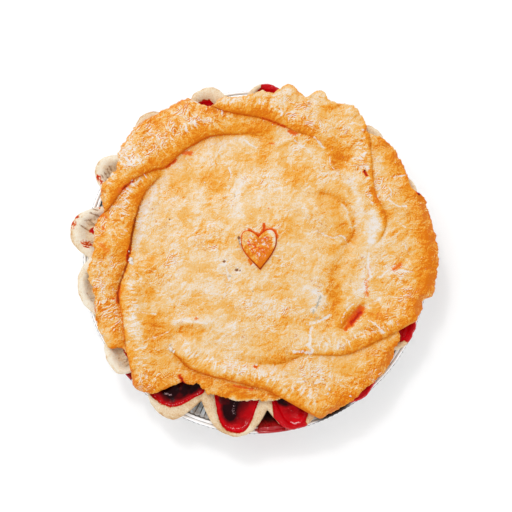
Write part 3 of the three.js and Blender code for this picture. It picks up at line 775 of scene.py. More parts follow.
lid = {
    "border": 4.5,
    "underside": 36.0,
    "domeHeight": 7.2,
    "domeRadius": 82.0,
    "domeMiddle": (4.0, 6.0),
    "edge": 3.0,
    "droop": 4.0,
    # the ragged edge: angle and radius
    "outline": [
        (-176, 110.4), (-168, 108.0), (-162, 109.9), (-155, 112.8), (-153, 111.3), (-148, 111.5),
        (-146.5, 106.2), (-143, 104.5), (-139, 106.7), (-136, 110.4), (-133, 114.1), (-130.5, 113.6),
        (-127, 109.7), (-125, 104.5), (-123, 98.7), (-121, 94.2), (-117, 92.9), (-115, 90.3), (-112, 91.8),
        (-109, 94.1), (-107, 92.2), (-98, 93.2), (-91, 92.2), (-86, 93.1), (-79, 93.6), (-76, 97.5),
        (-73, 102.0), (-69, 109.0), (-67, 111.4), (-63, 111.2), (-54, 111.4), (-50, 110.0), (-43, 111.6),
        (-37, 110.5), (-34, 108.6), (-29, 107.0), (-26, 104.8), (-21, 110.9), (-16, 113.5), (-13.5, 113.2),
        (-12, 117.4), (-7, 118.4), (0, 119.3), (8, 119.0), (15, 117.6), (19, 118.0), (21, 116.9),
        (25, 112.5), (30, 114.3), (38, 116.8), (43, 115.8), (49, 111.9), (51, 114.5), (53.5, 118.2),
        (58, 121.1), (60.5, 119.0), (63, 116.1), (66, 116.8), (68, 119.8), (70, 119.2), (72.2, 113.6),
        (74.5, 114.0), (78, 117.9), (80, 118.3), (82, 113.5), (85, 110.5), (88, 111.9), (92, 108.5),
        (102, 108.9), (107, 105.5), (110, 109.6), (113, 115.3), (119, 116.2), (124, 116.2), (132, 117.5),
        (138, 116.8), (142, 114.8), (144, 111.6), (148, 109.5), (155, 111.6), (161, 107.4), (163, 104.9),
        (168, 107.3), (175, 106.6), (180, 106.8),
    ],
    # the sheet on the left of a path lies over the sheet on its right
    # its roll is "width" wide and sinks over "spread"; its last number sets the painted shade in its crease
    # and the orange beside it, partly browning
    "folds": [
        {"path": [(-82, -2), (-80.5, 9), (-79, 20), (-77, 28), (-75, 35), (-72, 42), (-68, 47), (-63, 52),
                  (-57, 57)],
         "rise": 3.6, "width": 8, "spread": 30, "fade": (0.12, 0.2), "dip": 1.6, "shadeAndBrowning": 0.75},
        {"path": [(-104, 24), (-100, 27), (-93, 34), (-86, 44), (-80, 50), (-72, 54), (-66, 57),
                  (-60, 58.5), (-55, 62), (-50, 67), (-45, 71), (-40, 74), (-32, 78.5), (-22, 80.3),
                  (-10, 80.5), (0, 80), (8, 78.5), (15, 76)],
         "rise": 4.8, "width": 11, "spread": 44, "fade": (0.06, 0.3), "dip": 1.0, "shadeAndBrowning": 0.9},
        {"path": [(-33, 100), (-29, 98.5), (-25, 97), (-20, 95), (-10, 93.5), (0, 92), (8, 90), (18, 86),
                  (27, 82), (33, 80), (39, 77), (45, 72), (49, 67), (50, 61), (53, 56)],
         "rise": 3.6, "width": 8, "spread": 34, "fade": (0.08, 0.62), "dip": 0.5, "shadeAndBrowning": 0.8},
        {"path": [(71, 3), (76, 8), (81, 13), (83.7, 19), (84.6, 26), (82.3, 33), (78.5, 40), (76.6, 50),
                  (75.8, 60), (75, 72), (74, 80), (72.5, 89)],
         "rise": 1.4, "width": 4, "spread": 22, "fade": (0.3, 0.04), "dip": 0.7, "shadeAndBrowning": 0.5},
        {"path": [(-32, -64.5), (-20, -65.5), (-10, -66.7), (0, -68.5), (10, -69), (20, -67), (28, -63.5),
                  (34, -62.3), (45, -63), (58, -62.3), (68, -58.5), (77, -54), (85, -50.5), (92, -47),
                  (99, -43), (106, -39.5)],
         "rise": 2.6, "width": 7, "spread": 26, "fade": (0.75, 0.03), "dip": 1.4, "shadeAndBrowning": 0.6},
        {"path": [(-57, -57), (-53, -61), (-49, -65), (-45, -69), (-40, -72), (-30, -75.5), (-20, -78),
                  (-10, -80.5), (0, -83), (6, -84.5), (12, -87.5), (19, -91.5), (27, -96), (36, -101),
                  (45, -105)],
         "rise": 4.4, "width": 8, "spread": 18, "fade": (0.16, 0.03), "dip": 1.0, "shadeAndBrowning": 0.85},
        {"path": [(-81.5, 4), (-83.5, -6), (-87, -14), (-88.7, -22), (-88, -30), (-86, -38), (-85, -48),
                  (-83.5, -58), (-82, -66), (-80.5, -74), (-79, -86)],
         "rise": 4.0, "width": 8, "spread": 28, "fade": (0.1, 0.05), "dip": 1.2, "shadeAndBrowning": 0.95},
    ],
    # section across a fold: share of its width in from its edge, and share of its rise
    "lip": [
        (-0.3, 0), (-0.12, -0.02), (0.04, -0.02), (0.1, 0.04), (0.09, 0.16), (0.04, 0.3), (0.03, 0.42),
        (0.08, 0.56), (0.21, 0.72), (0.4, 0.86), (0.68, 0.96), (1, 1),
    ],
    # from the middle out: sectors, how many rings, and the shares of the radius where they begin and end
    "rings": [(240, 28, 0.02, 0.26), (480, 22, 0.26, 0.52), (960, 75, 0.52, 1.0)],
    # uneven height: how high, how wide, how many octaves and where in the noise
    "rolling": [(0.7, 38.0, 2, 0, 0), (0.4, 13.0, 3, 50, 0), (0.16, 4.5, 3, 0, 80)],
    "borderRolling": 0.28,
    "pitDepth": 0.5,
    "baked": 0.44,  # how brown it is before the strokes are added
    # swells and hollows: how high, how wide, along which points
    "relief": [
        (-1.5, 3.0, [(-36, -64), (-20, -65.8), (-8, -67.2), (4, -68.8), (16, -68), (26, -64.5)]),
        (-1.7, 5.0, [(45, 37), (54, 32), (60, 24), (62, 14), (58, 2), (52, -8)]),
        (-1.5, 1.9, [(42, 42), (50, 39.5), (57, 35), (62.5, 27.5), (64, 18), (62, 12), (58, 8)]),
        (1.8, 7.0, [(38, 30), (48, 24)]), (-0.8, 1.6, [(41, 15), (49, 11), (55, 12.5), (59, 8)]),
        (-1.5, 5.0, [(52, -14), (51, -26), (46, -38)]), (-1.8, 6.0, [(55, 63)]),
        (0.9, 1.5, [(48, 68), (48.5, 62), (52, 56), (58, 51), (60, 44)]),
        (0.8, 2.0, [(14, 73), (22, 77.5), (30, 79), (38, 76), (44, 71)]),
        (-2.2, 2.2, [(56, -45), (60, -39.5), (64, -35), (69, -31)]), (-1.2, 1.2, [(28, 102), (28.5, 109)]),
        (-1.2, 1.2, [(35, 99), (37, 106)]), (-1.0, 1.2, [(46, 104), (50, 101)]),
        (-1.0, 1.5, [(9, 100), (11, 108)]), (1.2, 4.0, [(20, 108)]), (1.2, 3.5, [(40, 107)]),
        (-1.0, 2.0, [(90, 53), (99, 54)]), (1.2, 5.0, [(85, 78), (92, 68), (96, 60)]),
        (-1.0, 6.0, [(-62, -46), (-56, -54)]), (-0.8, 3.0, [(-48, -47), (-34, -47)]),
        (0.8, 2.5, [(-50, -41), (-30, -42)]), (0.9, 4.0, [(-78, -24), (-76, -44), (-72, -62)]),
        (1.0, 3.5, [(-66, 40), (-70, 30), (-73, 18), (-75, 6)]),
        (-1.0, 2.5, [(-66, 92), (-70, 80), (-72, 72)]), (0.9, 2.0, [(72, -40), (80, -45), (84, -50)]),
        (-0.9, 2.0, [(66, -48), (76, -46)]), (0.7, 2.5, [(88, 46), (84, 38), (92, 34), (98, 30)]),
        (-0.7, 3.0, [(82, -8), (92, -4), (100, 2)]),
    ],
    # browner (more than 0) and paler (less than 0) places, some from baking and some painted shade and
    # painted highlights along swells and folds: how much, how wide, along which points
    "bakingAndShading": [
        (-0.75, 1.5, [(-17, -91), (-8, -91.8), (4, -92), (15, -91)]),
        (0.24, 1.8, [(59, 33.5), (62.6, 26), (63.2, 18.5), (61, 11.5)]),
        (0.14, 1.6, [(42, 41), (52, 38.5), (59, 33.5)]), (-0.3, 0.8, [(55.5, 35), (59.4, 28), (60.4, 20)]),
        (-0.3, 2.0, [(36, -34), (43, -38)]), (-0.25, 1.6, [(36, -21.5), (40, -24.5)]),
        (0.16, 3.0, [(51, -28), (50.5, -36), (46.5, -43)]),
        (-0.16, 4, [(-50, 72), (-40, 77), (-28, 81), (-10, 82.5)]),
        (-0.12, 4, [(-40, 84), (-25, 86), (-10, 87)]),
        (0.3, 1.6, [(-51, -63), (-46, -68.5), (-40, -73.5), (-33, -77.5)]),
        (-0.2, 3.5, [(79, 30), (77, 20), (74, 10)]), (0.24, 1.2, [(-20, -86.5), (-6, -88), (8, -88)]),
        (0.12, 9, [(-27, 52)]), (0.12, 6, [(-55, 43)]), (0.1, 5, [(-34, 50)]), (0.08, 7, [(-25, 38)]),
        (0.1, 9, [(10, 62)]), (0.24, 8, [(26, 52)]), (0.14, 7, [(38, 42)]), (0.3, 7, [(55, 63)]),
        (0.14, 7, [(55, 31), (62, 20)]), (0.12, 7, [(44, 8)]), (0.16, 7, [(62, -4)]),
        (0.22, 5, [(50, -8), (50, -18), (51, -27), (49, -38), (43, -46)]),
        (0.3, 4, [(58, -42), (68, -34), (82, -38)]), (0.2, 10, [(6, -57), (22, -64)]),
        (0.26, 5, [(-46, -48), (-36, -48)]), (0.26, 7, [(-66, -42)]), (0.2, 6, [(-60, -54)]),
        (0.14, 6, [(-68, -22)]), (0.12, 7, [(-68, -3)]), (0.12, 9, [(-38, -35)]), (0.12, 5, [(30, -44)]),
        (0.14, 5, [(68, -58), (76, -54)]), (0.2, 9, [(104, 26)]),
        (0.75, 7, [(108, 34), (113, 20), (115, 2), (113, -16), (106, -26)]),
        (0.1, 12, [(-30, 84), (0, 84)]), (0.12, 7, [(68, -40), (80, -46), (90, -40)]),
        (0.2, 5, [(98, 48), (104, 42)]), (0.2, 6, [(80, 76), (90, 69), (96, 60)]),
        (0.3, 3, [(75, 43), (78, 36), (84, 28)]), (0.16, 6, [(8, 93), (25, 87), (40, 79), (55, 71)]),
        (0.14, 4, [(46, 98), (52, 98)]), (0.12, 3, [(34, 100)]),
        (0.22, 5, [(-48, 103), (-32, 100), (-15, 96), (5, 97)]), (0.24, 6, [(-68, 88), (-70, 78)]),
        (0.2, 5, [(-66, 60), (-55, 66), (-42, 77), (-28, 83.5), (-10, 84), (6, 81)]),
        (0.2, 6, [(-100, 27), (-98, 14), (-100, 7)]), (0.3, 4, [(-88, 44)]),
        (0.22, 4, [(-73, 44), (-79, 30), (-82, 10), (-85, -6)]),
        (0.3, 4, [(-88, -10), (-91, -25), (-90, -40), (-88, -56)]), (0.26, 4, [(-101, -34)]),
        (0.26, 4, [(-79, -77), (-70, -83), (-56, -80), (-40, -76)]),
        (0.3, 5, [(-30, -80), (-10, -84), (10, -88)]),
        (0.28, 5, [(50, -92), (66, -82), (80, -68), (90, -54)]), (0.12, 6, [(88, -22), (98, -30)]),
        (-0.2, 5, [(-62, 48), (-68, 36), (-72, 24), (-72, 13)]), (-0.14, 9, [(-46, 10)]),
        (-0.15, 5, [(-38, 22), (-36, 40)]), (-0.14, 5, [(-12, 50), (-13, 26)]),
        (-0.16, 5, [(-36, 66), (-22, 70), (-8, 76)]), (-0.1, 6, [(8, 50), (25, 69), (34, 66)]),
        (-0.24, 4, [(62, 50), (66, 40), (67, 30)]), (-0.15, 5, [(78, 62), (86, 50)]),
        (-0.14, 6, [(93, 24)]), (-0.26, 5, [(77, 28), (74, 12), (71, 0), (70, -10), (68, -22)]),
        (-0.1, 9, [(20, 3)]), (-0.14, 8, [(10, -33)]), (-0.16, 5, [(28, -18), (36, -24), (40, -30)]),
        (-0.14, 4, [(36, -52), (50, -50)]), (-0.1, 7, [(-20, -48)]), (-0.12, 8, [(-38, -62)]),
        (-0.16, 4, [(-76, -40), (-74, -55), (-70, -64)]), (-0.16, 3, [(-50, -41.5), (-30, -42)]),
        (-0.1, 4, [(-45, -22), (-15, -20)]), (-0.1, 7, [(-20, -5)]), (-0.12, 4, [(-58, -30)]),
        (-0.12, 5, [(20, 106), (42, 104)]), (-0.12, 6, [(40, 92), (60, 88)]),
        (-0.1, 5, [(-22, -71), (0, -75), (20, -75), (45, -72)]), (-0.12, 6, [(-94, 60), (-80, 78)]),
        (-0.12, 5, [(88, -8)]), (-0.14, 4, [(-80, 56), (-66, 70)]),
    ],
    # more wrinkled places: how much, how wide, along which points
    "wrinkled": [
        (0.6, 15, [(-96, 50), (-85, 64), (-70, 78), (-52, 90), (-30, 97)]),
        (0.55, 10, [(-100, 22), (-98, 0), (-98, -20), (-92, -45)]),
        (0.3, 14, [(90, 40), (97, 20), (98, -5), (92, -30)]),
        (0.3, 12, [(15, 98), (42, 92), (62, 78), (64, 60)]), (-0.6, 9, [(56, -2), (60, -8)]),
        (-0.5, 6, [(78, 26), (75, 10)]), (0.2, 8, [(-20, -72), (10, -76), (40, -76)]),
        (0.3, 8, [(-60, -76), (-74, -80)]), (0.1, 8, [(50, -94), (66, -80)]),
    ],
    # painted shade in the gaps under the folds: how dark, how wide, along which points
    "shadedGaps": [
        (0.7, 0.8, [(-73.4, 38.5), (-75.6, 33.2), (-77.7, 26.1)]),
        (0.95, 0.9, [(-77.7, 26.1), (-79.9, 16.0), (-80.9, 8.1), (-81.8, 3.1)]),
        (1.0, 0.9, [(-81.7, 0.9), (-84.6, -8.5), (-87.5, -17.1), (-88.9, -23.5), (-88.0, -29.0)]),
        (0.6, 0.6, [(-84.6, -43.0), (-84.2, -50.0), (-83.5, -57.0)]),
        (0.8, 0.7, [(-85.3, 45.4), (-82.4, 48.0), (-79.4, 50.0)]),
        (0.6, 0.6, [(-9.0, -81.8), (-1.9, -83.4), (8.2, -87.0), (15.0, -90.8)]),
    ],
    # splits in the crust, painted grey as shade
    "splits": [
        [(41.6, -24.8), (40.4, -28.5), (38.6, -32.7), (36.2, -35.6)],
        [(40.0, -38.3), (37.2, -39.7), (35.8, -40.2)], [(-10.9, 10.6), (-10, 8.2)],
        [(-15.5, -12.4), (-17.2, -12)],
    ],
    "splitWidth": 0.7,
    # small pits, painted dark inside, partly as shade, with a pale patch below and right of each: place and
    # size
    "pits": [
        (-10.8, 12.4, 1.2), (-9.6, 9.6, 1.0), (-8.2, 6.9, 1.0), (-20.3, -2.7, 1.0), (-12.4, -8.2, 1.1),
        (-10.2, -8.6, 0.7), (-55.5, 25.0, 0.6), (-13.5, 40.0, 0.6), (-2.0, -22.0, 0.6), (-88.5, -58.5, 1.4),
        (-105.0, -25.0, 1.0),
    ],
    # pale cracks and lifted flakes, some of them painted highlights: how strong, how wide, along which points
    "cracks": [
        (0.9, 0.9, [(-17, 49), (-16, 54), (-17.5, 59)]), (0.7, 0.8, [(-46, 66), (-42, 61)]),
        (0.9, 0.8, [(-8, 78), (-5, 75), (0, 72)]), (0.6, 0.7, [(28, 17), (34, 16), (40, 17.5)]),
        (0.9, 0.9, [(36.5, -22), (39.5, -23.5)]), (0.8, 0.6, [(42.4, -29.6), (45.7, -29.8)]),
        (0.8, 0.6, [(42.4, -33.2), (44.6, -33)]),
        (0.95, 0.75, [(33, -42.7), (39.4, -41.2), (43.9, -39.2), (47.7, -36.2)]),
        (0.8, 0.7, [(43.5, -31.5), (42.2, -35), (38.4, -37.2)]), (0.6, 0.7, [(39.6, -26), (38.4, -29)]),
        (0.6, 0.7, [(37.0, -31.5), (34.6, -35)]), (0.5, 0.6, [(45.9, -30), (47.2, -31)]),
        (0.9, 0.8, [(41, -22.5), (42.6, -24.5)]),
        (1.0, 1.1, [(35.8, -44.7), (34.5, -49.4), (34.9, -54), (32.6, -55.9), (35.8, -58.6),
                    (34.5, -62.3)]),
        (0.55, 0.6, [(26.5, 32.5), (33, 34.5), (40, 31)]), (0.5, 0.6, [(24, 27), (31, 26), (36, 23)]),
        (0.6, 1.2, [(-97.5, -0.5), (-92.5, 0.5)]), (0.8, 0.9, [(73.5, 8.5), (72.2, -3.2), (74.2, -12.3)]),
        (0.8, 0.8, [(41.3, 16.4), (48.9, 12.8), (55.3, 14.4), (59.6, 9.4)]),
        (0.9, 1.2, [(24, -60), (34, -60.5)]), (0.7, 0.8, [(-23, -2), (-19, -7), (-17, -14)]),
        (0.6, 0.7, [(-7, -18), (-3, -24), (-3, -31)]), (0.8, 0.8, [(-70, -52), (-62, -50), (-56, -47)]),
        (0.8, 0.7, [(-73, -35), (-64, -36)]), (0.7, 1.2, [(-47, -40), (-32, -42)]),
        (0.7, 1.0, [(25, 77), (32, 72), (36, 69)]), (0.8, 0.8, [(38, 79), (44, 72)]),
        (0.8, 0.7, [(48, 67), (48.5, 61), (53, 55)]), (0.8, 0.6, [(63, 66), (69, 65)]),
        (0.8, 0.6, [(62, 61), (70, 59.5)]), (0.7, 0.6, [(63, 57), (68, 57)]),
        (0.9, 0.6, [(85, 48), (88, 42), (85, 38)]), (0.9, 0.6, [(86, 38), (92, 34), (97, 34)]),
        (0.8, 0.6, [(92, 24), (97, 20)]), (0.9, 0.6, [(72, -40), (77, -43), (82, -48)]),
        (0.8, 0.7, [(62, -52), (69, -50), (76, -47)]), (0.7, 0.8, [(80, -12), (90, -8), (101, -9)]),
        (0.7, 0.6, [(96, 10), (99, 3), (104, 6)]), (0.7, 0.8, [(-86, 40), (-82, 36)]),
        (0.7, 0.8, [(-54, -30), (-56, -24)]), (0.7, 0.9, [(30, 32), (36, 30)]),
        (0.6, 0.8, [(-40, -22), (-20, -24)]), (0.8, 0.9, [(89, 53), (98, 54.5)]),
        (0.8, 0.7, [(62.5, -29.5), (59, -32.5), (55.8, -37.5), (54.8, -41.4)]),
        (0.8, 0.5, [(72.1, -43.6), (77.3, -48.3)]), (0.6, 1.6, [(74, -29), (79, -26)]),
    ],
    # juice that came through: how much, how wide, along which points
    "seeps": [
        (0.8, 1.1, [(-81, 7), (-82.5, 2), (-82.5, -2)]), (0.55, 1.5, [(-88, -19), (-89, -28)]),
        (0.35, 1.8, [(-47, 69), (-42, 68.5)]), (0.6, 1.0, [(-86, 44.8), (-79.5, 50)]),
        (0.3, 1.8, [(-88, 43.2), (-84, 47)]), (0.6, 1.0, [(-58, 59.5), (-52, 64)]),
        (0.5, 1.3, [(-101, 28)]), (0.6, 0.8, [(-31, 98)]), (0.55, 0.7, [(4, 91.5), (12, 88.5), (19, 86)]),
        (0.4, 1.5, [(22, 83), (26, 81.5)]), (0.4, 0.8, [(9, 75), (12, 74.5)]),
        (0.47, 2.7, [(67.6, -32.8), (64, -36.6), (60.5, -41)]), (0.4, 1.6, [(61.5, -40), (57.3, -46)]),
        (0.7, 1.9, [(67, -35), (64.4, -38), (61.2, -42)]), (0.5, 1.1, [(60, -43.6), (57.8, -46)]),
        (0.28, 1.6, [(-100, 28.5), (-96.5, 26.5)]), (0.2, 3.0, [(-100, 9), (-96, 5)]),
        (0.35, 0.7, [(-99.2, 21), (-98, 18.5)]), (0.3, 0.8, [(-103.2, 20.5)]),
        (0.22, 1.8, [(71, -15), (71.5, -24)]), (0.2, 1.4, [(72.5, -12), (73, -5)]),
        (0.3, 2.2, [(89, -7), (93, -4)]), (0.24, 1.4, [(79, 35), (77, 43)]),
        (0.8, 0.8, [(70, 56.5), (72, 54)]), (0.56, 1.1, [(4.6, 15), (5.4, 18), (5.2, 21.3)]),
        (0.36, 1.0, [(-4.5, -1.5), (-3, -4)]), (1.0, 1.3, [(105, 45), (105.5, 42.5)]),
        (1.0, 0.9, [(-48.8, -75.5), (-45.5, -81.5)]), (0.6, 0.7, [(-92, -26)]), (0.5, 0.6, [(8, 31.5)]),
        (0.5, 0.7, [(-1, -69.5), (1, -70)]), (0.6, 0.8, [(-86, -58)]), (0.35, 1.2, [(-38, -39)]),
        (0.5, 0.7, [(51, -86)]), (0.45, 1.0, [(-14, -82), (-2, -84)]),
    ],
}


def curvePoints(path, steps):
    if len(path) == 1:
        return np.array(path * 2, float) + [[0, 0], [0.01, 0]]
    return np.array(smoothRings([np.array(p, float) for p in path], steps))


def outlineRadius(angle):
    table = np.array(lid["outline"])
    degrees, radius = table[:, 0], table[:, 1]
    first = degrees[0]
    asked = (np.degrees(angle) - first) % 360 + first
    degrees = np.concatenate([degrees[-2:] - 360, degrees, degrees[:3] + 360])
    radius = np.concatenate([radius[-2:], radius, radius[:3]])
    slope = (radius[2:] - radius[:-2]) / (degrees[2:] - degrees[:-2])
    at = np.searchsorted(degrees, asked, side="right") - 1
    width = degrees[at + 1] - degrees[at]
    t = (asked - degrees[at]) / width
    begin = (1 + 2 * t) * (1 - t) ** 2 * radius[at] + t * (1 - t) ** 2 * width * slope[at - 1]
    end = t * t * (3 - 2 * t) * radius[at + 1] + t * t * (t - 1) * width * slope[at]
    return begin + end


def placeOnPath(points, x, y):
    # signed distance from a path, positive on its left, the share of the way along it, and the way across it
    best = np.full(x.shape, 1e9)
    side = np.zeros_like(x)
    steps = np.diff(points, axis=0)
    count = len(steps)
    distances, places = [], []
    for i in range(count):
        (ax, ay), (dx, dy) = points[i], steps[i]
        t = np.clip(((x - ax) * dx + (y - ay) * dy) / (dx * dx + dy * dy), 0, 1)
        distance = np.hypot(x - ax - dx * t, y - ay - dy * t)
        cross = dx * (y - ay) - dy * (x - ax)
        closer = distance < best
        best = np.where(closer, distance, best)
        side = np.where(closer, np.where(cross >= 0, distance, -distance), side)
        distances.append(distance)
        places.append(i + t)
    # far from the path the places along it run into one another, so that nothing jumps inside a bend
    reach = 0.3 + 0.16 * best
    total, along = np.zeros_like(x), np.zeros_like(x)
    normals = np.stack([-steps[:, 1], steps[:, 0]], 1)
    normals = normals / np.linalg.norm(normals, axis=1)[:, None]
    acrossX, acrossY = np.zeros_like(x), np.zeros_like(x)
    for i in range(count):
        weight = np.exp((best - distances[i]) / reach)
        total += weight
        along += weight * places[i]
        acrossX += weight * normals[i, 0]
        acrossY += weight * normals[i, 1]
    return side, along / total / count, acrossX / total, acrossY / total


def nearPath(path, width, x, y):
    # 1 on a path, less and less further from it
    points = curvePoints(path, 4)
    best = np.full(x.shape, 1e9)
    low, high = points.min(0) - 3.2 * width, points.max(0) + 3.2 * width
    near = (x > low[0]) & (x < high[0]) & (y > low[1]) & (y < high[1])
    nearX, nearY = x[near], y[near]
    distance = np.full(nearX.shape, 1e9)
    for (ax, ay), (dx, dy) in zip(points[:-1], np.diff(points, axis=0)):
        t = np.clip(((nearX - ax) * dx + (nearY - ay) * dy) / (dx * dx + dy * dy), 0, 1)
        distance = np.minimum(distance, np.hypot(nearX - ax - dx * t, nearY - ay - dy * t))
    best[near] = distance
    return np.exp(-((best / width) ** 2))


def strongest(strokes, x, y):
    # the strongest stroke at each place; a stroke is its amount, its width and the points along it
    most = np.zeros_like(x)
    for amount, width, path in strokes:
        most = np.maximum(most, amount * nearPath(path, width, x, y))
    return most


def addStrokes(values, strokes, x, y):
    # adds strokes to the values where they are kept
    for amount, width, path in strokes:
        values += amount * nearPath(path, width, x, y)


def lipCurve():
    # the lip's section as places at even steps along its length
    points = np.array(lid["lip"], float)
    for _ in range(3):
        cut = [points[0]]
        for a, b in zip(points[:-1], points[1:]):
            cut += [mix(a, b, 0.25), mix(a, b, 0.75)]
        points = np.array(cut + [points[-1]])
    steps = np.hypot(np.diff(points[:, 0]), 0.55 * np.diff(points[:, 1]))
    length = np.concatenate([[0], np.cumsum(steps)])
    return length / length[-1], points[:, 0], points[:, 1]


def sheetHeight(x, y):
    away = np.hypot(x - lid["domeMiddle"][0], y - lid["domeMiddle"][1]) / lid["domeRadius"]
    swell = np.clip(1 - away**2, 0, 1) ** 1.4
    return lid["underside"] + lid["border"] + lid["domeHeight"] * swell


def raiseFolds(x, y):
    share, lipIn, lipUp = lipCurve()
    back = lid["lip"][0][0]
    height, shiftX, shiftY = np.zeros_like(x), np.zeros_like(x), np.zeros_like(x)
    names = ("crease", "halo", "face", "crest", "wrinkles", "alongFold", "overFold")
    marks = {name: np.zeros_like(x) for name in names}
    for fold in lid["folds"]:
        points = curvePoints(fold["path"], 3)
        side, along, acrossX, acrossY = placeOnPath(points, x, y)
        strength = smooth(0, fold["fade"][0], along) * smooth(0, fold["fade"][1], 1 - along)
        width = fold["width"] * (0.6 + 0.4 * strength)
        inside = side / width
        t = np.clip((inside - back) / (1 - back), 0, 1)
        turned = (inside > back) & (inside < 1)
        move = np.where(turned, np.interp(t, share, lipIn) - inside, 0) * width * strength
        sink = 1 - 0.92 * smooth(1, fold["spread"] / fold["width"], inside)
        height += fold["rise"] * strength * np.interp(t, share, lipUp) * sink
        under = np.exp(-((np.minimum(inside, 0) / 0.45) ** 2)) * (1 - smooth(0, 0.5, inside))
        height -= 0.6 * fold["dip"] * strength * under
        shiftX += acrossX * move
        shiftY += acrossY * move
        length = np.sum(np.hypot(*np.diff(points, axis=0).T))
        fine = noise(along * length / 1.9, side / 7) + 0.6 * noise(along * length / 3.7 + 40, side / 9)
        crest = strength * np.exp(-(((inside - 1.1) / 0.65) ** 2))
        nearest = crest > marks["crest"]
        marks["alongFold"] = np.where(nearest, along * length, marks["alongFold"])
        marks["overFold"] = np.where(nearest, side, marks["overFold"])
        # the crease is painted shade, partly browning; the halo beside it is orange, partly browning and
        # partly painted shade
        values = {
            "crease": fold["shadeAndBrowning"] * strength * np.exp(-(((side + 0.1) / 0.6) ** 2)),
            "halo": fold["shadeAndBrowning"] * strength * np.exp(-(((side - 1.2) / 1.8) ** 2)),
            "face": strength * smooth(-0.1, 0.15, inside) * (1 - smooth(0.5, 1.1, inside)),
            "crest": crest,
        }
        for name, value in values.items():
            marks[name] = np.maximum(marks[name], value)
        marks["wrinkles"] += crest * fine
    return height, shiftX, shiftY, marks


def meshNormals(mesh):
    normals = np.zeros(len(mesh.vertices) * 3, np.float32)
    mesh.vertex_normals.foreach_get("vector", normals)
    return normals.reshape(-1, 3)


def nearHeart(width, x, y):
    outline = heartPlaces(40)
    return nearPath(np.concatenate([outline, outline[:1]]).tolist(), width, x, y)


def bakeTopCrust(piece, marks):
    # browning, cracks, seeps and rough places from where each point of the crust is, and painted shade from
    # which way it faces
    mesh = piece.data
    places = np.zeros(len(mesh.vertices) * 3, np.float32)
    mesh.vertices.foreach_get("co", places)
    x, y, _ = (places.reshape(-1, 3) / mm).T.astype(float)
    facing = meshNormals(mesh)
    wanderX, wanderY = x + 1.3 * fractal(x, y, 7.0, 3), y + 1.3 * fractal(x + 90, y, 7.0, 3)
    bake = lid["baked"] + 0.1 * fractal(x, y, 26.0, 3) + 0.11 * smooth(50, 90, -0.8 * x + 0.5 * y)
    bake += 0.05 * smooth(0, 60, x - 0.4 * y)
    bake += 0.08 * smooth(0.7, 0.84, marks["share"]) + 0.08 * marks["crest"]
    addStrokes(bake, lid["bakingAndShading"], wanderX, wanderY)
    # painted shade: browner where the crust faces down and to the right, away from the light; browner on the
    # face of each roll and beside its crease, partly browning and partly painted shade
    shadeAwayFromLight = 0.8 * (-facing[:, 1] - (sheetHeight(x, y + 1) - sheetHeight(x, y - 1)) / 2)
    shadeAwayFromLight += 0.5 * (facing[:, 0] + (sheetHeight(x + 1, y) - sheetHeight(x - 1, y)) / 2)
    bake += 0.1 * marks["face"] + 0.3 * marks["halo"] + 0.2 * np.clip(np.tanh(2.6 * shadeAwayFromLight), -0.6, 1)
    bake += 0.16 * smooth(0.955, 1.0, marks["share"])
    bake = np.where(bake > 0.6, 0.6 + 0.4 * (1 - np.exp(-(bake - 0.6) / 0.4)), bake)
    edgeX, edgeY = x + 0.5 * fractal(x, y, 2.4, 2), y + 0.5 * fractal(x + 60, y, 2.4, 2)
    flakesAndGlints = strongest(lid["cracks"], edgeX, edgeY)
    juice = strongest(lid["seeps"], edgeX, edgeY)
    seeping = smooth(8, 12, y + 0.9 * np.abs(x - 14) * (x > 2) - 2 * (x > 2)) * smooth(-7, -4, x)
    juice = np.maximum(juice, 0.54 * nearHeart(1.7, edgeX, edgeY) * seeping)
    pit = np.zeros_like(x)
    for pitX, pitY, size in lid["pits"]:
        pit = np.maximum(pit, np.exp(-((x - pitX) ** 2 + (y - pitY) ** 2) / size**2))
        beside = (x - pitX - size) ** 2 + (y - pitY + 1.3 * size) ** 2
        flakesAndGlints = np.maximum(flakesAndGlints, 0.8 * np.exp(-beside / size**2))
    rough = 0.36 + 0.5 * fractal(x, y, 22.0, 2) + 0.15 * marks["crest"] - 0.6 * marks["face"]
    addStrokes(rough, lid["wrinkled"], x, y)
    rough = np.clip(rough, 0, 1)
    # pale along the wrinkles on each roll's crest: painted highlights
    flakesAndGlints = np.maximum(flakesAndGlints, 0.8 * smooth(0.25, 0.7, marks["wrinkles"]))
    wet = smooth(0.1, 0.3, juice) + marks["crease"]
    # loose flakes lie where the crust is rough, faces up, and is dry and not too brown
    flaky = smooth(0.2, 1.0, rough) * smooth(0.3, 0.7, facing[:, 2]) * (marks["share"] < 0.97)
    flaky = flaky * np.clip(1 - wet, 0, 1) * smooth(1.0, 0.7, bake)
    # painted shade round the foot of the heart
    marks["crease"] = np.maximum(marks["crease"], 0.75 * nearHeart(0.9, x, y))
    splits = [(1, lid["splitWidth"], path) for path in lid["splits"]]
    split, gap = strongest(splits, edgeX, edgeY), strongest(lid["shadedGaps"], edgeX, edgeY)
    values = {"bake": bake, "flakesAndGlints": flakesAndGlints, "juice": juice, "rough": rough, "flaky": flaky, "pit": pit}
    values = {**values, "split": split, "gap": gap}
    values = {**values, **{name: marks[name] for name in ("crease", "crest", "alongFold", "overFold")}}
    for name, value in values.items():
        storeValues(mesh, name, value)


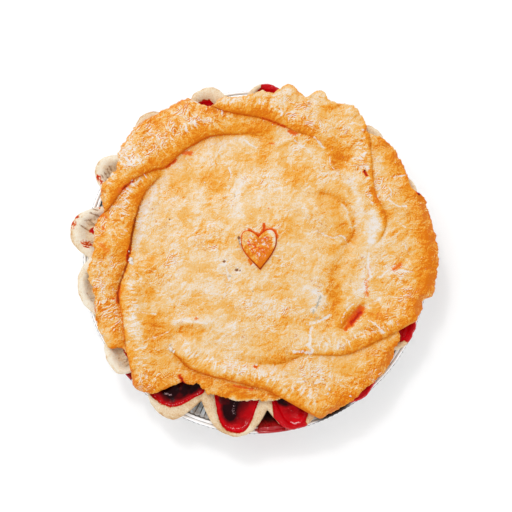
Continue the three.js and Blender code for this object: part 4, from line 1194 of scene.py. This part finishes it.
def makeTopCrust():
    rings = []
    for sectors, number, start, end in lid["rings"]:
        rings += [(sectors, share) for share in np.linspace(start, end, number, endpoint=end == 1.0)]
    counts = [sectors for sectors, _ in rings]
    angle = np.concatenate([np.linspace(-np.pi, np.pi, n, endpoint=False) for n in counts])
    share = np.concatenate([np.full(n, f) for n, f in rings])
    radius = outlineRadius(angle)
    rimX, rimY = 110 * np.cos(angle), 110 * np.sin(angle)
    teeth = 0.6 * fractal(rimX, rimY, 2.6, 2) + 0.6 * np.abs(noise(rimX / 1.4, rimY / 1.4)) - 1.1
    teeth -= 1.4 * np.clip(noise(rimX / 4.4 + 30, rimY / 4.4), 0, 0.6)
    radius = radius + teeth * smooth(0.92, 1.0, share)
    x, y = share * radius * np.cos(angle), share * radius * np.sin(angle)
    height, shiftX, shiftY, marks = raiseFolds(x, y)
    addStrokes(height, lid["relief"], x, y)
    for amount, width, path in lid["cracks"]:
        height += amount * (0.3 * nearPath(path, 2.2 * width, x, y) - 0.6 * nearPath(path, 0.8 * width, x, y))
    for pitX, pitY, size in lid["pits"]:
        height -= lid["pitDepth"] * np.exp(-((x - pitX) ** 2 + (y - pitY) ** 2) / size**2)
    x, y = x + shiftX, y + shiftY
    _, _, outer, _ = fluteAt(angle)
    droop = np.clip(radius - outer - 1.0, 0, lid["droop"]) * smooth(0.93, 1.0, share)
    rolling = np.zeros_like(x)
    for much, size, octaves, right, up in lid["rolling"]:
        rolling += much * fractal(x + right, y + up, size, octaves)
    rolling += lid["borderRolling"] * smooth(0.7, 0.9, share) * fractal(x + 30, y, 6.0, 3)
    wrinkle = 0.32 * marks["wrinkles"]
    top = sheetHeight(x, y) + height + rolling + wrinkle
    edgeTop = lid["underside"] + lid["edge"]
    inEdge = np.clip((share - 0.965) / 0.035, 0, 1)
    rounding = 1 - np.sqrt(np.clip(1 - inEdge**2, 0, 1))
    z = mix(top, edgeTop, 0.8 * rounding) - droop
    points = np.stack([x, y, z], 1)
    rim = len(angle) - counts[-1]
    edgeAngle, edgeRadius, edgeDroop = angle[rim:], radius[rim:], droop[rim:]
    edgePoints = points[rim:]
    under = []
    half = slice(None, None, 2)
    low = lid["underside"]
    for inward, rise in ((0.4, 1.0), (1.4, 0.0)):
        flat = edgePoints[:, :2] * (1 - inward / edgeRadius[:, None])
        under.append(np.concatenate([flat, (low + rise - edgeDroop)[:, None]], 1))
    for part in (0.93, 0.85, 0.6, 0.3):
        ring = around(edgeAngle[half], edgeRadius[half] * part, 0.0)
        ring[:, 2] = sheetHeight(ring[:, 0], ring[:, 1]) - lid["border"]
        under.append(ring)
    allRings = under[::-1] + np.split(points, np.cumsum(counts)[:-1])[::-1]
    extra = sum(len(ring) for ring in under)
    marks["share"] = share
    ordered = {}  # the same marks in the order of the closed mesh's points
    for key, value in marks.items():
        parts = np.split(value, np.cumsum(counts)[:-1])
        ordered[key] = np.concatenate([np.zeros(extra)] + parts[::-1] + [[0, value[0]]])
    piece = closedRings("foldedTopCrust", allRings)
    bakeTopCrust(piece, ordered)
    return finishPiece(piece, goldenCrust, "top_crust")


def tinProfile():
    foil, bead, high = tin["foil"], tin["bead"], tin["height"]
    floor = tin["baseRadius"]
    mouth = tin["mouthRadius"]
    outside = [(20, 0), (50, 0), (80, 0), (floor - 1.5, 0), (floor, 0.5)]
    top = high - bead - foil
    outside += [(mix(floor, mouth + foil, t), mix(0.5, top, t)) for t in np.linspace(0.08, 1, 12)]
    turns = np.linspace(-0.55, 0.85, 9) * np.pi
    edge = [(tin["rimRadius"] - bead + bead * math.cos(a), high - bead + bead * math.sin(a)) for a in turns]
    inside = [(radius, high - drop) for radius, drop in tin["throat"]]
    inside += [(mix(floor - 0.4, mouth, t), mix(0.8, high - bead - 0.2, t)) for t in np.linspace(1, 0.05, 12)]
    inside += [(floor - 1.6, foil), (80, foil), (50, foil), (20, foil)]
    return outside + edge + inside


def sockets(tree, given):
    tree.interface.new_socket("Geometry", in_out="INPUT", socket_type="NodeSocketGeometry")
    for name, kind in given.items():
        tree.interface.new_socket(name, in_out="INPUT", socket_type="NodeSocket" + kind)
    tree.interface.new_socket("Geometry", in_out="OUTPUT", socket_type="NodeSocketGeometry")
    return addNode(tree, "NodeGroupInput").outputs


def randomValue(tree, low, high, seed):
    inputs = {2: low, 3: high, "Seed": seed}
    return addNode(tree, "FunctionNodeRandomValue", inputs, data_type="FLOAT").outputs[1]


def named(tree, name):
    return addNode(tree, "GeometryNodeInputNamedAttribute", {"Name": name}, data_type="FLOAT").outputs[0]


def realParts(tree, geometry, given):
    real = addNode(tree, "GeometryNodeRealizeInstances", {"Geometry": geometry}).outputs[0]
    inputs = {"Geometry": real, "Material": given["Material"]}
    painted = addNode(tree, "GeometryNodeSetMaterial", inputs).outputs[0]
    addNode(tree, "NodeGroupOutput", {"Geometry": painted})


def applyNodes(thing, tree, values):
    # runs a node tree on a thing and keeps its result as a plain mesh
    modifier = thing.modifiers.new(tree.name, "NODES")
    modifier.node_group = tree
    for socket in tree.interface.items_tree:
        if socket.item_type == "SOCKET" and socket.in_out == "INPUT" and socket.name in values:
            modifier[socket.identifier] = values[socket.name]
    bpy.context.view_layer.update()
    result = thing.evaluated_get(bpy.context.evaluated_depsgraph_get())
    made = bpy.data.meshes.new_from_object(result)
    thing.modifiers.remove(modifier)
    thing.data = made


def makeRibNodes():
    # presses upright ribs into a wall: moves its points in and out with their angle, and stores painted shade
    # for the grooves between them
    tree = bpy.data.node_groups.new("pressedRibs", "GeometryNodeTree")
    floats = {name: "Float" for name in ("Rib Depth", "Lowest", "Highest")}
    given = sockets(tree, {"Ribs": "Int", **floats, "Material": "Material"})
    position = addNode(tree, "GeometryNodeInputPosition").outputs[0]
    apart = addNode(tree, "ShaderNodeSeparateXYZ", {0: position}).outputs
    angle = calculate(tree, "ARCTAN2", apart["Y"], apart["X"])
    turned = weigh(tree, (angle, given["Ribs"]), (noiseTexture(tree, position, 45.0, 1.0), 9.0))
    wave = calculate(tree, "SINE", turned)
    up = mapRange(tree, apart["Z"], given["Lowest"], calculate(tree, "ADD", given["Lowest"], 0.006))
    below = calculate(tree, "SUBTRACT", given["Highest"], 0.0015)
    share = times(tree, up, mapRange(tree, apart["Z"], below, given["Highest"], 1.0, 0.0))
    dry = mapRange(tree, named(tree, "flooded"), 0.1, 0.5, 1.0, 0.15)
    push = times(tree, wave, times(tree, share, given["Rib Depth"], dry))
    flat = addNode(tree, "ShaderNodeCombineXYZ", {"X": apart["X"], "Y": apart["Y"]}).outputs[0]
    outward = addNode(tree, "ShaderNodeVectorMath", {0: flat}, operation="NORMALIZE").outputs[0]
    offset = addNode(tree, "ShaderNodeVectorMath", {0: outward, "Scale": push}, operation="SCALE").outputs[0]
    inputs = {"Geometry": given["Geometry"], "Offset": offset}
    moved = addNode(tree, "GeometryNodeSetPosition", inputs).outputs[0]
    # painted shade in the grooves
    hollowShade = times(tree, mapRange(tree, wave, -1.0, -0.55, 1.0, 0.0), share)
    grooved = {"Geometry": moved, "Name": "grooveShade", "Value": hollowShade}
    stored = addNode(tree, "GeometryNodeStoreNamedAttribute", grooved, data_type="FLOAT", domain="POINT")
    stored = stored.outputs[0]
    realParts(tree, stored, given)
    return tree


def makeTin():
    profile = tinProfile()
    angle = np.linspace(-np.pi, np.pi, tin["ribs"] * 8, endpoint=False)
    rings = [around(angle, radius, height) for radius, height in profile]
    points = np.concatenate(rings)
    x, y = points[:, 0], points[:, 1]
    away, turn = np.hypot(x, y), np.degrees(np.arctan2(y, x))
    film = np.zeros(len(points))
    wander = 1.1 * fractal(x, y, 3.0, 2)
    for middle, width in tin["films"]:
        film = np.maximum(film, np.exp(-(((turn - middle + wander) / width) ** 6)))
    flooded = film * smooth(14, 20, points[:, 2])
    film = film * (0.5 + 0.45 * (1 - smooth(102, 107, away + fractal(x, y, 4.0, 2))))
    # outside, the juice ran down in drips
    drips = 27 - 13 * np.clip(0.3 + 1.5 * noise(turn / 1.9, 0 * turn + 3), 0, 1)
    order = np.arange(len(points)) / len(angle)
    outside = order < tin["outsideRings"]
    inner = 1.0 * (order > tin["ringsBeforeInside"])
    film = film * np.where(outside, smooth(drips - 1.5, drips + 1.5, points[:, 2]), points[:, 2] > 12)
    middle, width = tin["rimDark"]
    rimDark = np.exp(-(((turn - middle) / width) ** 6)) * (points[:, 2] > 27.5)
    rimShade = np.zeros((len(profile), len(angle)))
    for ring in tin["rimShades"]:
        rimShade[ring] = 1.0
    values = {"juice": film, "rimShade": rimShade.ravel(), "rimDark": rimDark, "flooded": flooded, "inner": inner}
    piece = closedRings("foilTin", rings, values)
    values = {"Ribs": tin["ribs"], "Rib Depth": tin["ribDepth"] * mm, "Lowest": 0.001, "Highest": 0.0292}
    applyNodes(piece, makeRibNodes(), {**values, "Material": brightFoil})
    return finishPiece(piece, brightFoil, "foil_tin")


heart = {
    "width": 22.4,
    "height": 24.6,
    "thickness": 3.6,
    "middle": (2.2, 4.6),
    "turn": 3.0,
    "around": 192,
    # its rings: share of the outline and of the height, then those on its top
    "sides": [
        (0.3, 0), (0.7, 0), (1.0, 0.02), (1.035, 0.15), (1.03, 0.4), (1.012, 0.62), (0.985, 0.82),
        (0.95, 0.95), (0.91, 1.0),
    ],
    "top": (0.85, 0.79, 0.72, 0.64, 0.56, 0.48, 0.4, 0.3, 0.2, 0.1),
}


def heartOutline(count):
    half, top = heart["width"] / 2, heart["height"] / 2
    right = [
        [(0, -top), (half * 0.35, -top * 0.62), (half, -top * 0.05), (half, top * 0.45)],
        [(half, top * 0.45), (half, top * 1.19), (half * 0.48, top * 1.16), (0, top * 0.64)],
    ]
    points = []
    for bezier in right:
        a, b, c, d = np.array(bezier)
        t = np.linspace(0, 1, 60)[:-1, None]
        points.append((1 - t) ** 3 * a + 3 * t * (1 - t) ** 2 * b + 3 * t * t * (1 - t) * c + t**3 * d)
    rightSide = np.concatenate(points + [np.array([[0, top * 0.62]])])
    leftSide = rightSide[::-1] * [-1, 1]
    whole = np.concatenate([rightSide, leftSide[1:]])
    length = np.concatenate([[0], np.cumsum(np.linalg.norm(np.diff(whole, axis=0), axis=1))])
    even = np.linspace(0, length[-1], count, endpoint=False)
    return np.stack([np.interp(even, length, whole[:, 0]), np.interp(even, length, whole[:, 1])], 1)


def heartPlaces(count, share=1.0):
    # the outline, or a smaller one within it, where it lies on the crust
    turn = math.radians(heart["turn"])
    spin = np.array([[math.cos(turn), math.sin(turn)], [-math.sin(turn), math.cos(turn)]])
    return (heartOutline(count) * share + [0, (1 - share) * 1.5]) @ spin + heart["middle"]


def makeHeart():
    thick = heart["thickness"]
    shares = heart["sides"] + [(share, 1.0) for share in heart["top"]]
    rings = []
    for share, up in shares:
        flat = heartPlaces(heart["around"], share)
        seat = sheetHeight(flat[:, 0], flat[:, 1]) - 0.6
        bump = 0.3 * fractal(flat[:, 0], flat[:, 1], 5.0, 3) * (up == 1.0)
        bump = bump - 0.5 * (1 - smooth(0.5, 0.85, share))
        rings.append(np.concatenate([flat, (seat + up * thick + bump)[:, None]], 1))
    points = np.concatenate(rings)
    x, y = points[:, 0], points[:, 1]
    reach = np.repeat([share for share, _ in shares], heart["around"])
    upper = np.repeat([up for _, up in shares], heart["around"])
    side = (1 - smooth(0.3, 0.9, upper)) * (reach > 0.9)
    rim = (1 - smooth(0.6, 0.98, upper)) * (reach > 0.9)
    edge = (1 - smooth(0.8, 0.99, upper)) * (reach > 0.9)
    patch = fractal(x, y, 4.0, 3)
    bake = 0.8 + 0.4 * side + 0.2 * patch - 0.14 * smooth(2, 9, -x + 0.4 * (y - 6))
    bake = bake + 0.16 * smooth(1, 6, x - 0.5 * (y - 2))
    right = smooth(4, 8, x - 0.3 * (y - 12)) * smooth(0.72, 0.86, reach)
    right = right * smooth(0.35, 0.6, upper) * smooth(4, 8, y)
    low = smooth(-4, 3, x - 0.2 * (y - 4))
    glaze = (1 - smooth(0.55, 0.86, reach + 0.16 * patch)) * (upper > 0.9)
    glaze = glaze * smooth(-8, 2, y + 1.2 * x + 3)
    values = {
        "bake": bake - 0.62 * right,
        "rough": 0.5 * (1 - side),
        "juice": glaze * np.clip(0.16 + 0.5 * fractal(x + 30, y, 2.2, 2), 0, 0.5),
        # pale flecks on the glaze, partly painted highlights
        "flakesAndGlints": glaze * np.clip(0.42 + 0.5 * fractal(x - 30, y + 20, 1.8, 2), 0, 0.6),
        # the dark line round its foot is painted shade and burnt edge, heaviest on the lower right
        "crease": 0.9 * rim + 1.5 * edge * (0.25 + 0.75 * low) * smooth(15, 9, y),
    }
    piece = closedRings("pastryHeart", rings, values)
    return finishPiece(piece, glazedPastry, "heart")


flakes = {
    "density": 60000.0,  # on each square metre of the roughest crust
    "size": (0.2, 0.5),  # half lengths of the smallest and largest, mm
    "flatness": 0.3,
    "seed": 4,
}
crumbs = {
    "lumpiness": 1.1,
    # x, y, size and tone (0 white, 0.8 golden, 1 cherry)
    "places": [
        (-54.5, -58.5, 1.9, 0.1), (-52.5, -60.0, 1.1, 0.05), (-55.0, -55.5, 0.9, 0.2),
        (-80.6, -1.0, 2.0, 0.1), (-80.0, -3.0, 1.4, 0.05), (-81.8, 4.5, 0.6, 0.1), (105.0, 43.5, 1.1, 1.0),
        (105.8, 41.5, 0.8, 1.0), (-9.6, 9.6, 0.9, 0.0), (-7.4, 5.6, 0.8, 0.0), (-19.4, -1.6, 0.8, 0.0),
        (-11.5, -6.8, 0.7, 0.0), (14.5, 24.0, 0.5, 0.1), (33.0, 26.0, 0.5, 0.2), (-3.0, 28.0, 0.5, 0.0),
        (47.0, -84.0, 0.9, 0.0), (46.0, -87.0, 0.8, 0.1), (60.5, -88.5, 0.9, 0.0), (-33.0, 49.0, 0.6, 0.1),
        (-62.0, 8.0, 0.5, 0.2), (70.5, 57.0, 0.7, 1.0),
    ],
}


def makeFlakeNodes():
    # scatters small flat chips over a crust, as many as its "flaky" value says
    tree = bpy.data.node_groups.new("scatteredFlakes", "GeometryNodeTree")
    floats = ("Density", "Smallest", "Largest", "Flatness")
    given = sockets(tree, {**{name: "Float" for name in floats}, "Seed": "Int", "Material": "Material"})
    density = times(tree, given["Density"], named(tree, "flaky"))
    inputs = {"Mesh": given["Geometry"], "Density": density, "Seed": given["Seed"]}
    spots = addNode(tree, "GeometryNodeDistributePointsOnFaces", inputs, distribute_method="RANDOM").outputs
    chip = addNode(tree, "GeometryNodeMeshIcoSphere", {"Radius": 1.0, "Subdivisions": 1}).outputs[0]
    size = randomValue(tree, given["Smallest"], given["Largest"], 1)
    narrow = times(tree, size, randomValue(tree, 0.35, 0.9, 2))
    flat = times(tree, size, given["Flatness"])
    scale = addNode(tree, "ShaderNodeCombineXYZ", {"X": size, "Y": narrow, "Z": flat}).outputs[0]
    inputs = {"Points": spots["Points"], "Instance": chip, "Rotation": spots["Rotation"], "Scale": scale}
    chips = addNode(tree, "GeometryNodeInstanceOnPoints", inputs).outputs[0]
    spin = {"X": randomValue(tree, -0.3, 0.3, 4), "Z": randomValue(tree, 0.0, 6.28, 3)}
    spin = addNode(tree, "ShaderNodeCombineXYZ", spin).outputs[0]
    chips = addNode(tree, "GeometryNodeRotateInstances", {"Instances": chips, "Rotation": spin}).outputs[0]
    inputs = {"Geometry": chips, "Name": "tone", "Value": randomValue(tree, 0.2, 0.8, 5)}
    toned = addNode(tree, "GeometryNodeStoreNamedAttribute", inputs, data_type="FLOAT", domain="INSTANCE")
    toned = toned.outputs[0]
    realParts(tree, toned, given)
    return tree


def makeCrumbNodes():
    # a lump on each point, as large as its "size" value says
    tree = bpy.data.node_groups.new("looseCrumbs", "GeometryNodeTree")
    given = sockets(tree, {"Lumpiness": "Float", "Material": "Material"})
    spots = addNode(tree, "GeometryNodeMeshToPoints", {"Mesh": given["Geometry"]}).outputs[0]
    ball = addNode(tree, "GeometryNodeMeshIcoSphere", {"Radius": 1.0, "Subdivisions": 3}).outputs[0]
    size = named(tree, "size")
    turn = {name: randomValue(tree, 0.0, 6.28, seed) for name, seed in (("X", 1), ("Y", 2), ("Z", 3))}
    scale = {"X": size, "Y": times(tree, size, 0.8), "Z": times(tree, size, 0.6)}
    scale = addNode(tree, "ShaderNodeCombineXYZ", scale).outputs[0]
    turned = addNode(tree, "ShaderNodeCombineXYZ", turn).outputs[0]
    inputs = {"Points": spots, "Instance": ball, "Rotation": turned, "Scale": scale}
    lumps = addNode(tree, "GeometryNodeInstanceOnPoints", inputs).outputs[0]
    real = addNode(tree, "GeometryNodeRealizeInstances", {"Geometry": lumps}).outputs[0]
    rough = addNode(tree, "ShaderNodeTexNoise", {"Scale": 900.0, "Detail": 2.0}).outputs["Color"]
    offset = addNode(tree, "ShaderNodeVectorMath", {0: rough, 1: (0.5, 0.5, 0.5)}, operation="SUBTRACT")
    offset = offset.outputs[0]
    amount = times(tree, size, given["Lumpiness"])
    offset = addNode(tree, "ShaderNodeVectorMath", {0: offset, "Scale": amount}, operation="SCALE").outputs[0]
    moved = addNode(tree, "GeometryNodeSetPosition", {"Geometry": real, "Offset": offset}).outputs[0]
    realParts(tree, moved, given)
    return tree


def makeFlakes(crustPiece):
    piece = bpy.data.objects.new("crustFlakes", crustPiece.data.copy())
    bpy.context.scene.collection.objects.link(piece)
    small, large = flakes["size"]
    sizes = {"Smallest": small * mm, "Largest": large * mm, "Flatness": flakes["flatness"]}
    values = {"Density": flakes["density"], "Seed": flakes["seed"], "Material": looseFlake}
    applyNodes(piece, makeFlakeNodes(), {**values, **sizes})
    piece.data.name = "crustFlakes"
    return finishPiece(piece, looseFlake)


def makeCrumbs(crustPiece):
    points, sizes, tones = [], [], []
    for x, y, size, tone in crumbs["places"]:
        hit, place, _, _ = crustPiece.ray_cast((x * mm, y * mm, 0.1), (0, 0, -1))
        if not hit:
            continue
        points.append((x, y, place.z / mm + 0.3 * size))
        sizes.append(size * mm)
        tones.append(tone)
    piece = meshObject("looseCrumbs", points, [], {"size": sizes, "tone": tones})
    applyNodes(piece, makeCrumbNodes(), {"Lumpiness": crumbs["lumpiness"], "Material": looseFlake})
    return finishPiece(piece, looseFlake)


makeTin()
print("foil tin made")
makeBottomCrust()
print("bottom crust made")
makeFilling()
print("filling made")
topCrust = makeTopCrust()
print("top crust made")
makeHeart()
print("heart made")
makeFlakes(topCrust)
makeCrumbs(topCrust)
print("flakes and crumbs made")


stage = {
    "floorSize": 9.0,
    "cameraDistance": 1.0,
    "cameraTilt": 6.0,
    "lens": 107.8,
    "lookAt": (0.00013, 0.00269, 0.030),
    "ambient": (0.79, 1.12),  # overhead and near the floor
    # soft main light and a small one for sparkle: power, size, place
    "lights": {"main": (9.0, 1.3, (-0.7, 1.0, 1.9)), "sparkle": (6.0, 0.24, (-0.5, 1.0, 2.0))},
}


def makeStage():
    half = stage["floorSize"] / 2 / mm
    corners = [(-half, -half, 0), (half, -half, 0), (half, half, 0), (-half, half, 0)]
    floor = meshObject("floor", corners, [(0, 1, 2, 3)])
    floor.data.materials.append(newMaterial("paleFloor", **{"Roughness": 0.8, "Base Color": (1, 1, 1, 1)})[0])
    world = bpy.data.worlds.new("studio")
    world.use_nodes = True
    background = world.node_tree.nodes["Background"]
    way = addNode(world.node_tree, "ShaderNodeTexCoord").outputs["Generated"]
    up = addNode(world.node_tree, "ShaderNodeSeparateXYZ", {0: way}).outputs["Z"]
    overhead, horizon = stage["ambient"]
    glow = mapRange(world.node_tree, up, 0.2, 1.0, horizon, overhead)
    world.node_tree.links.new(glow, background.inputs["Strength"])
    background.inputs["Color"].default_value = (1, 1, 1, 1)
    bpy.context.scene.world = world
    for name, (power, size, place) in stage["lights"].items():
        light = bpy.data.lights.new(name, "AREA")
        light.energy = power
        light.size = size
        lamp = bpy.data.objects.new(name, light)
        lamp.location = place
        lamp.rotation_euler = (-lamp.location).to_track_quat("-Z", "Y").to_euler()
        bpy.context.scene.collection.objects.link(lamp)


def makeCamera():
    tilt = math.radians(stage["cameraTilt"])
    camera = bpy.data.objects.new("camera", bpy.data.cameras.new("camera"))
    camera.data.lens = stage["lens"]
    camera.data.sensor_width = 36.0
    camera.data.clip_start = 0.01
    x, y, z = stage["lookAt"]
    away = stage["cameraDistance"]
    camera.location = (x, y - away * math.sin(tilt), z + away * math.cos(tilt))
    camera.rotation_euler = (tilt, 0, 0)
    bpy.context.scene.collection.objects.link(camera)
    bpy.context.scene.camera = camera


makeStage()
makeCamera()
bpy.context.scene.view_settings.view_transform = "Standard"
print("stage and camera made")
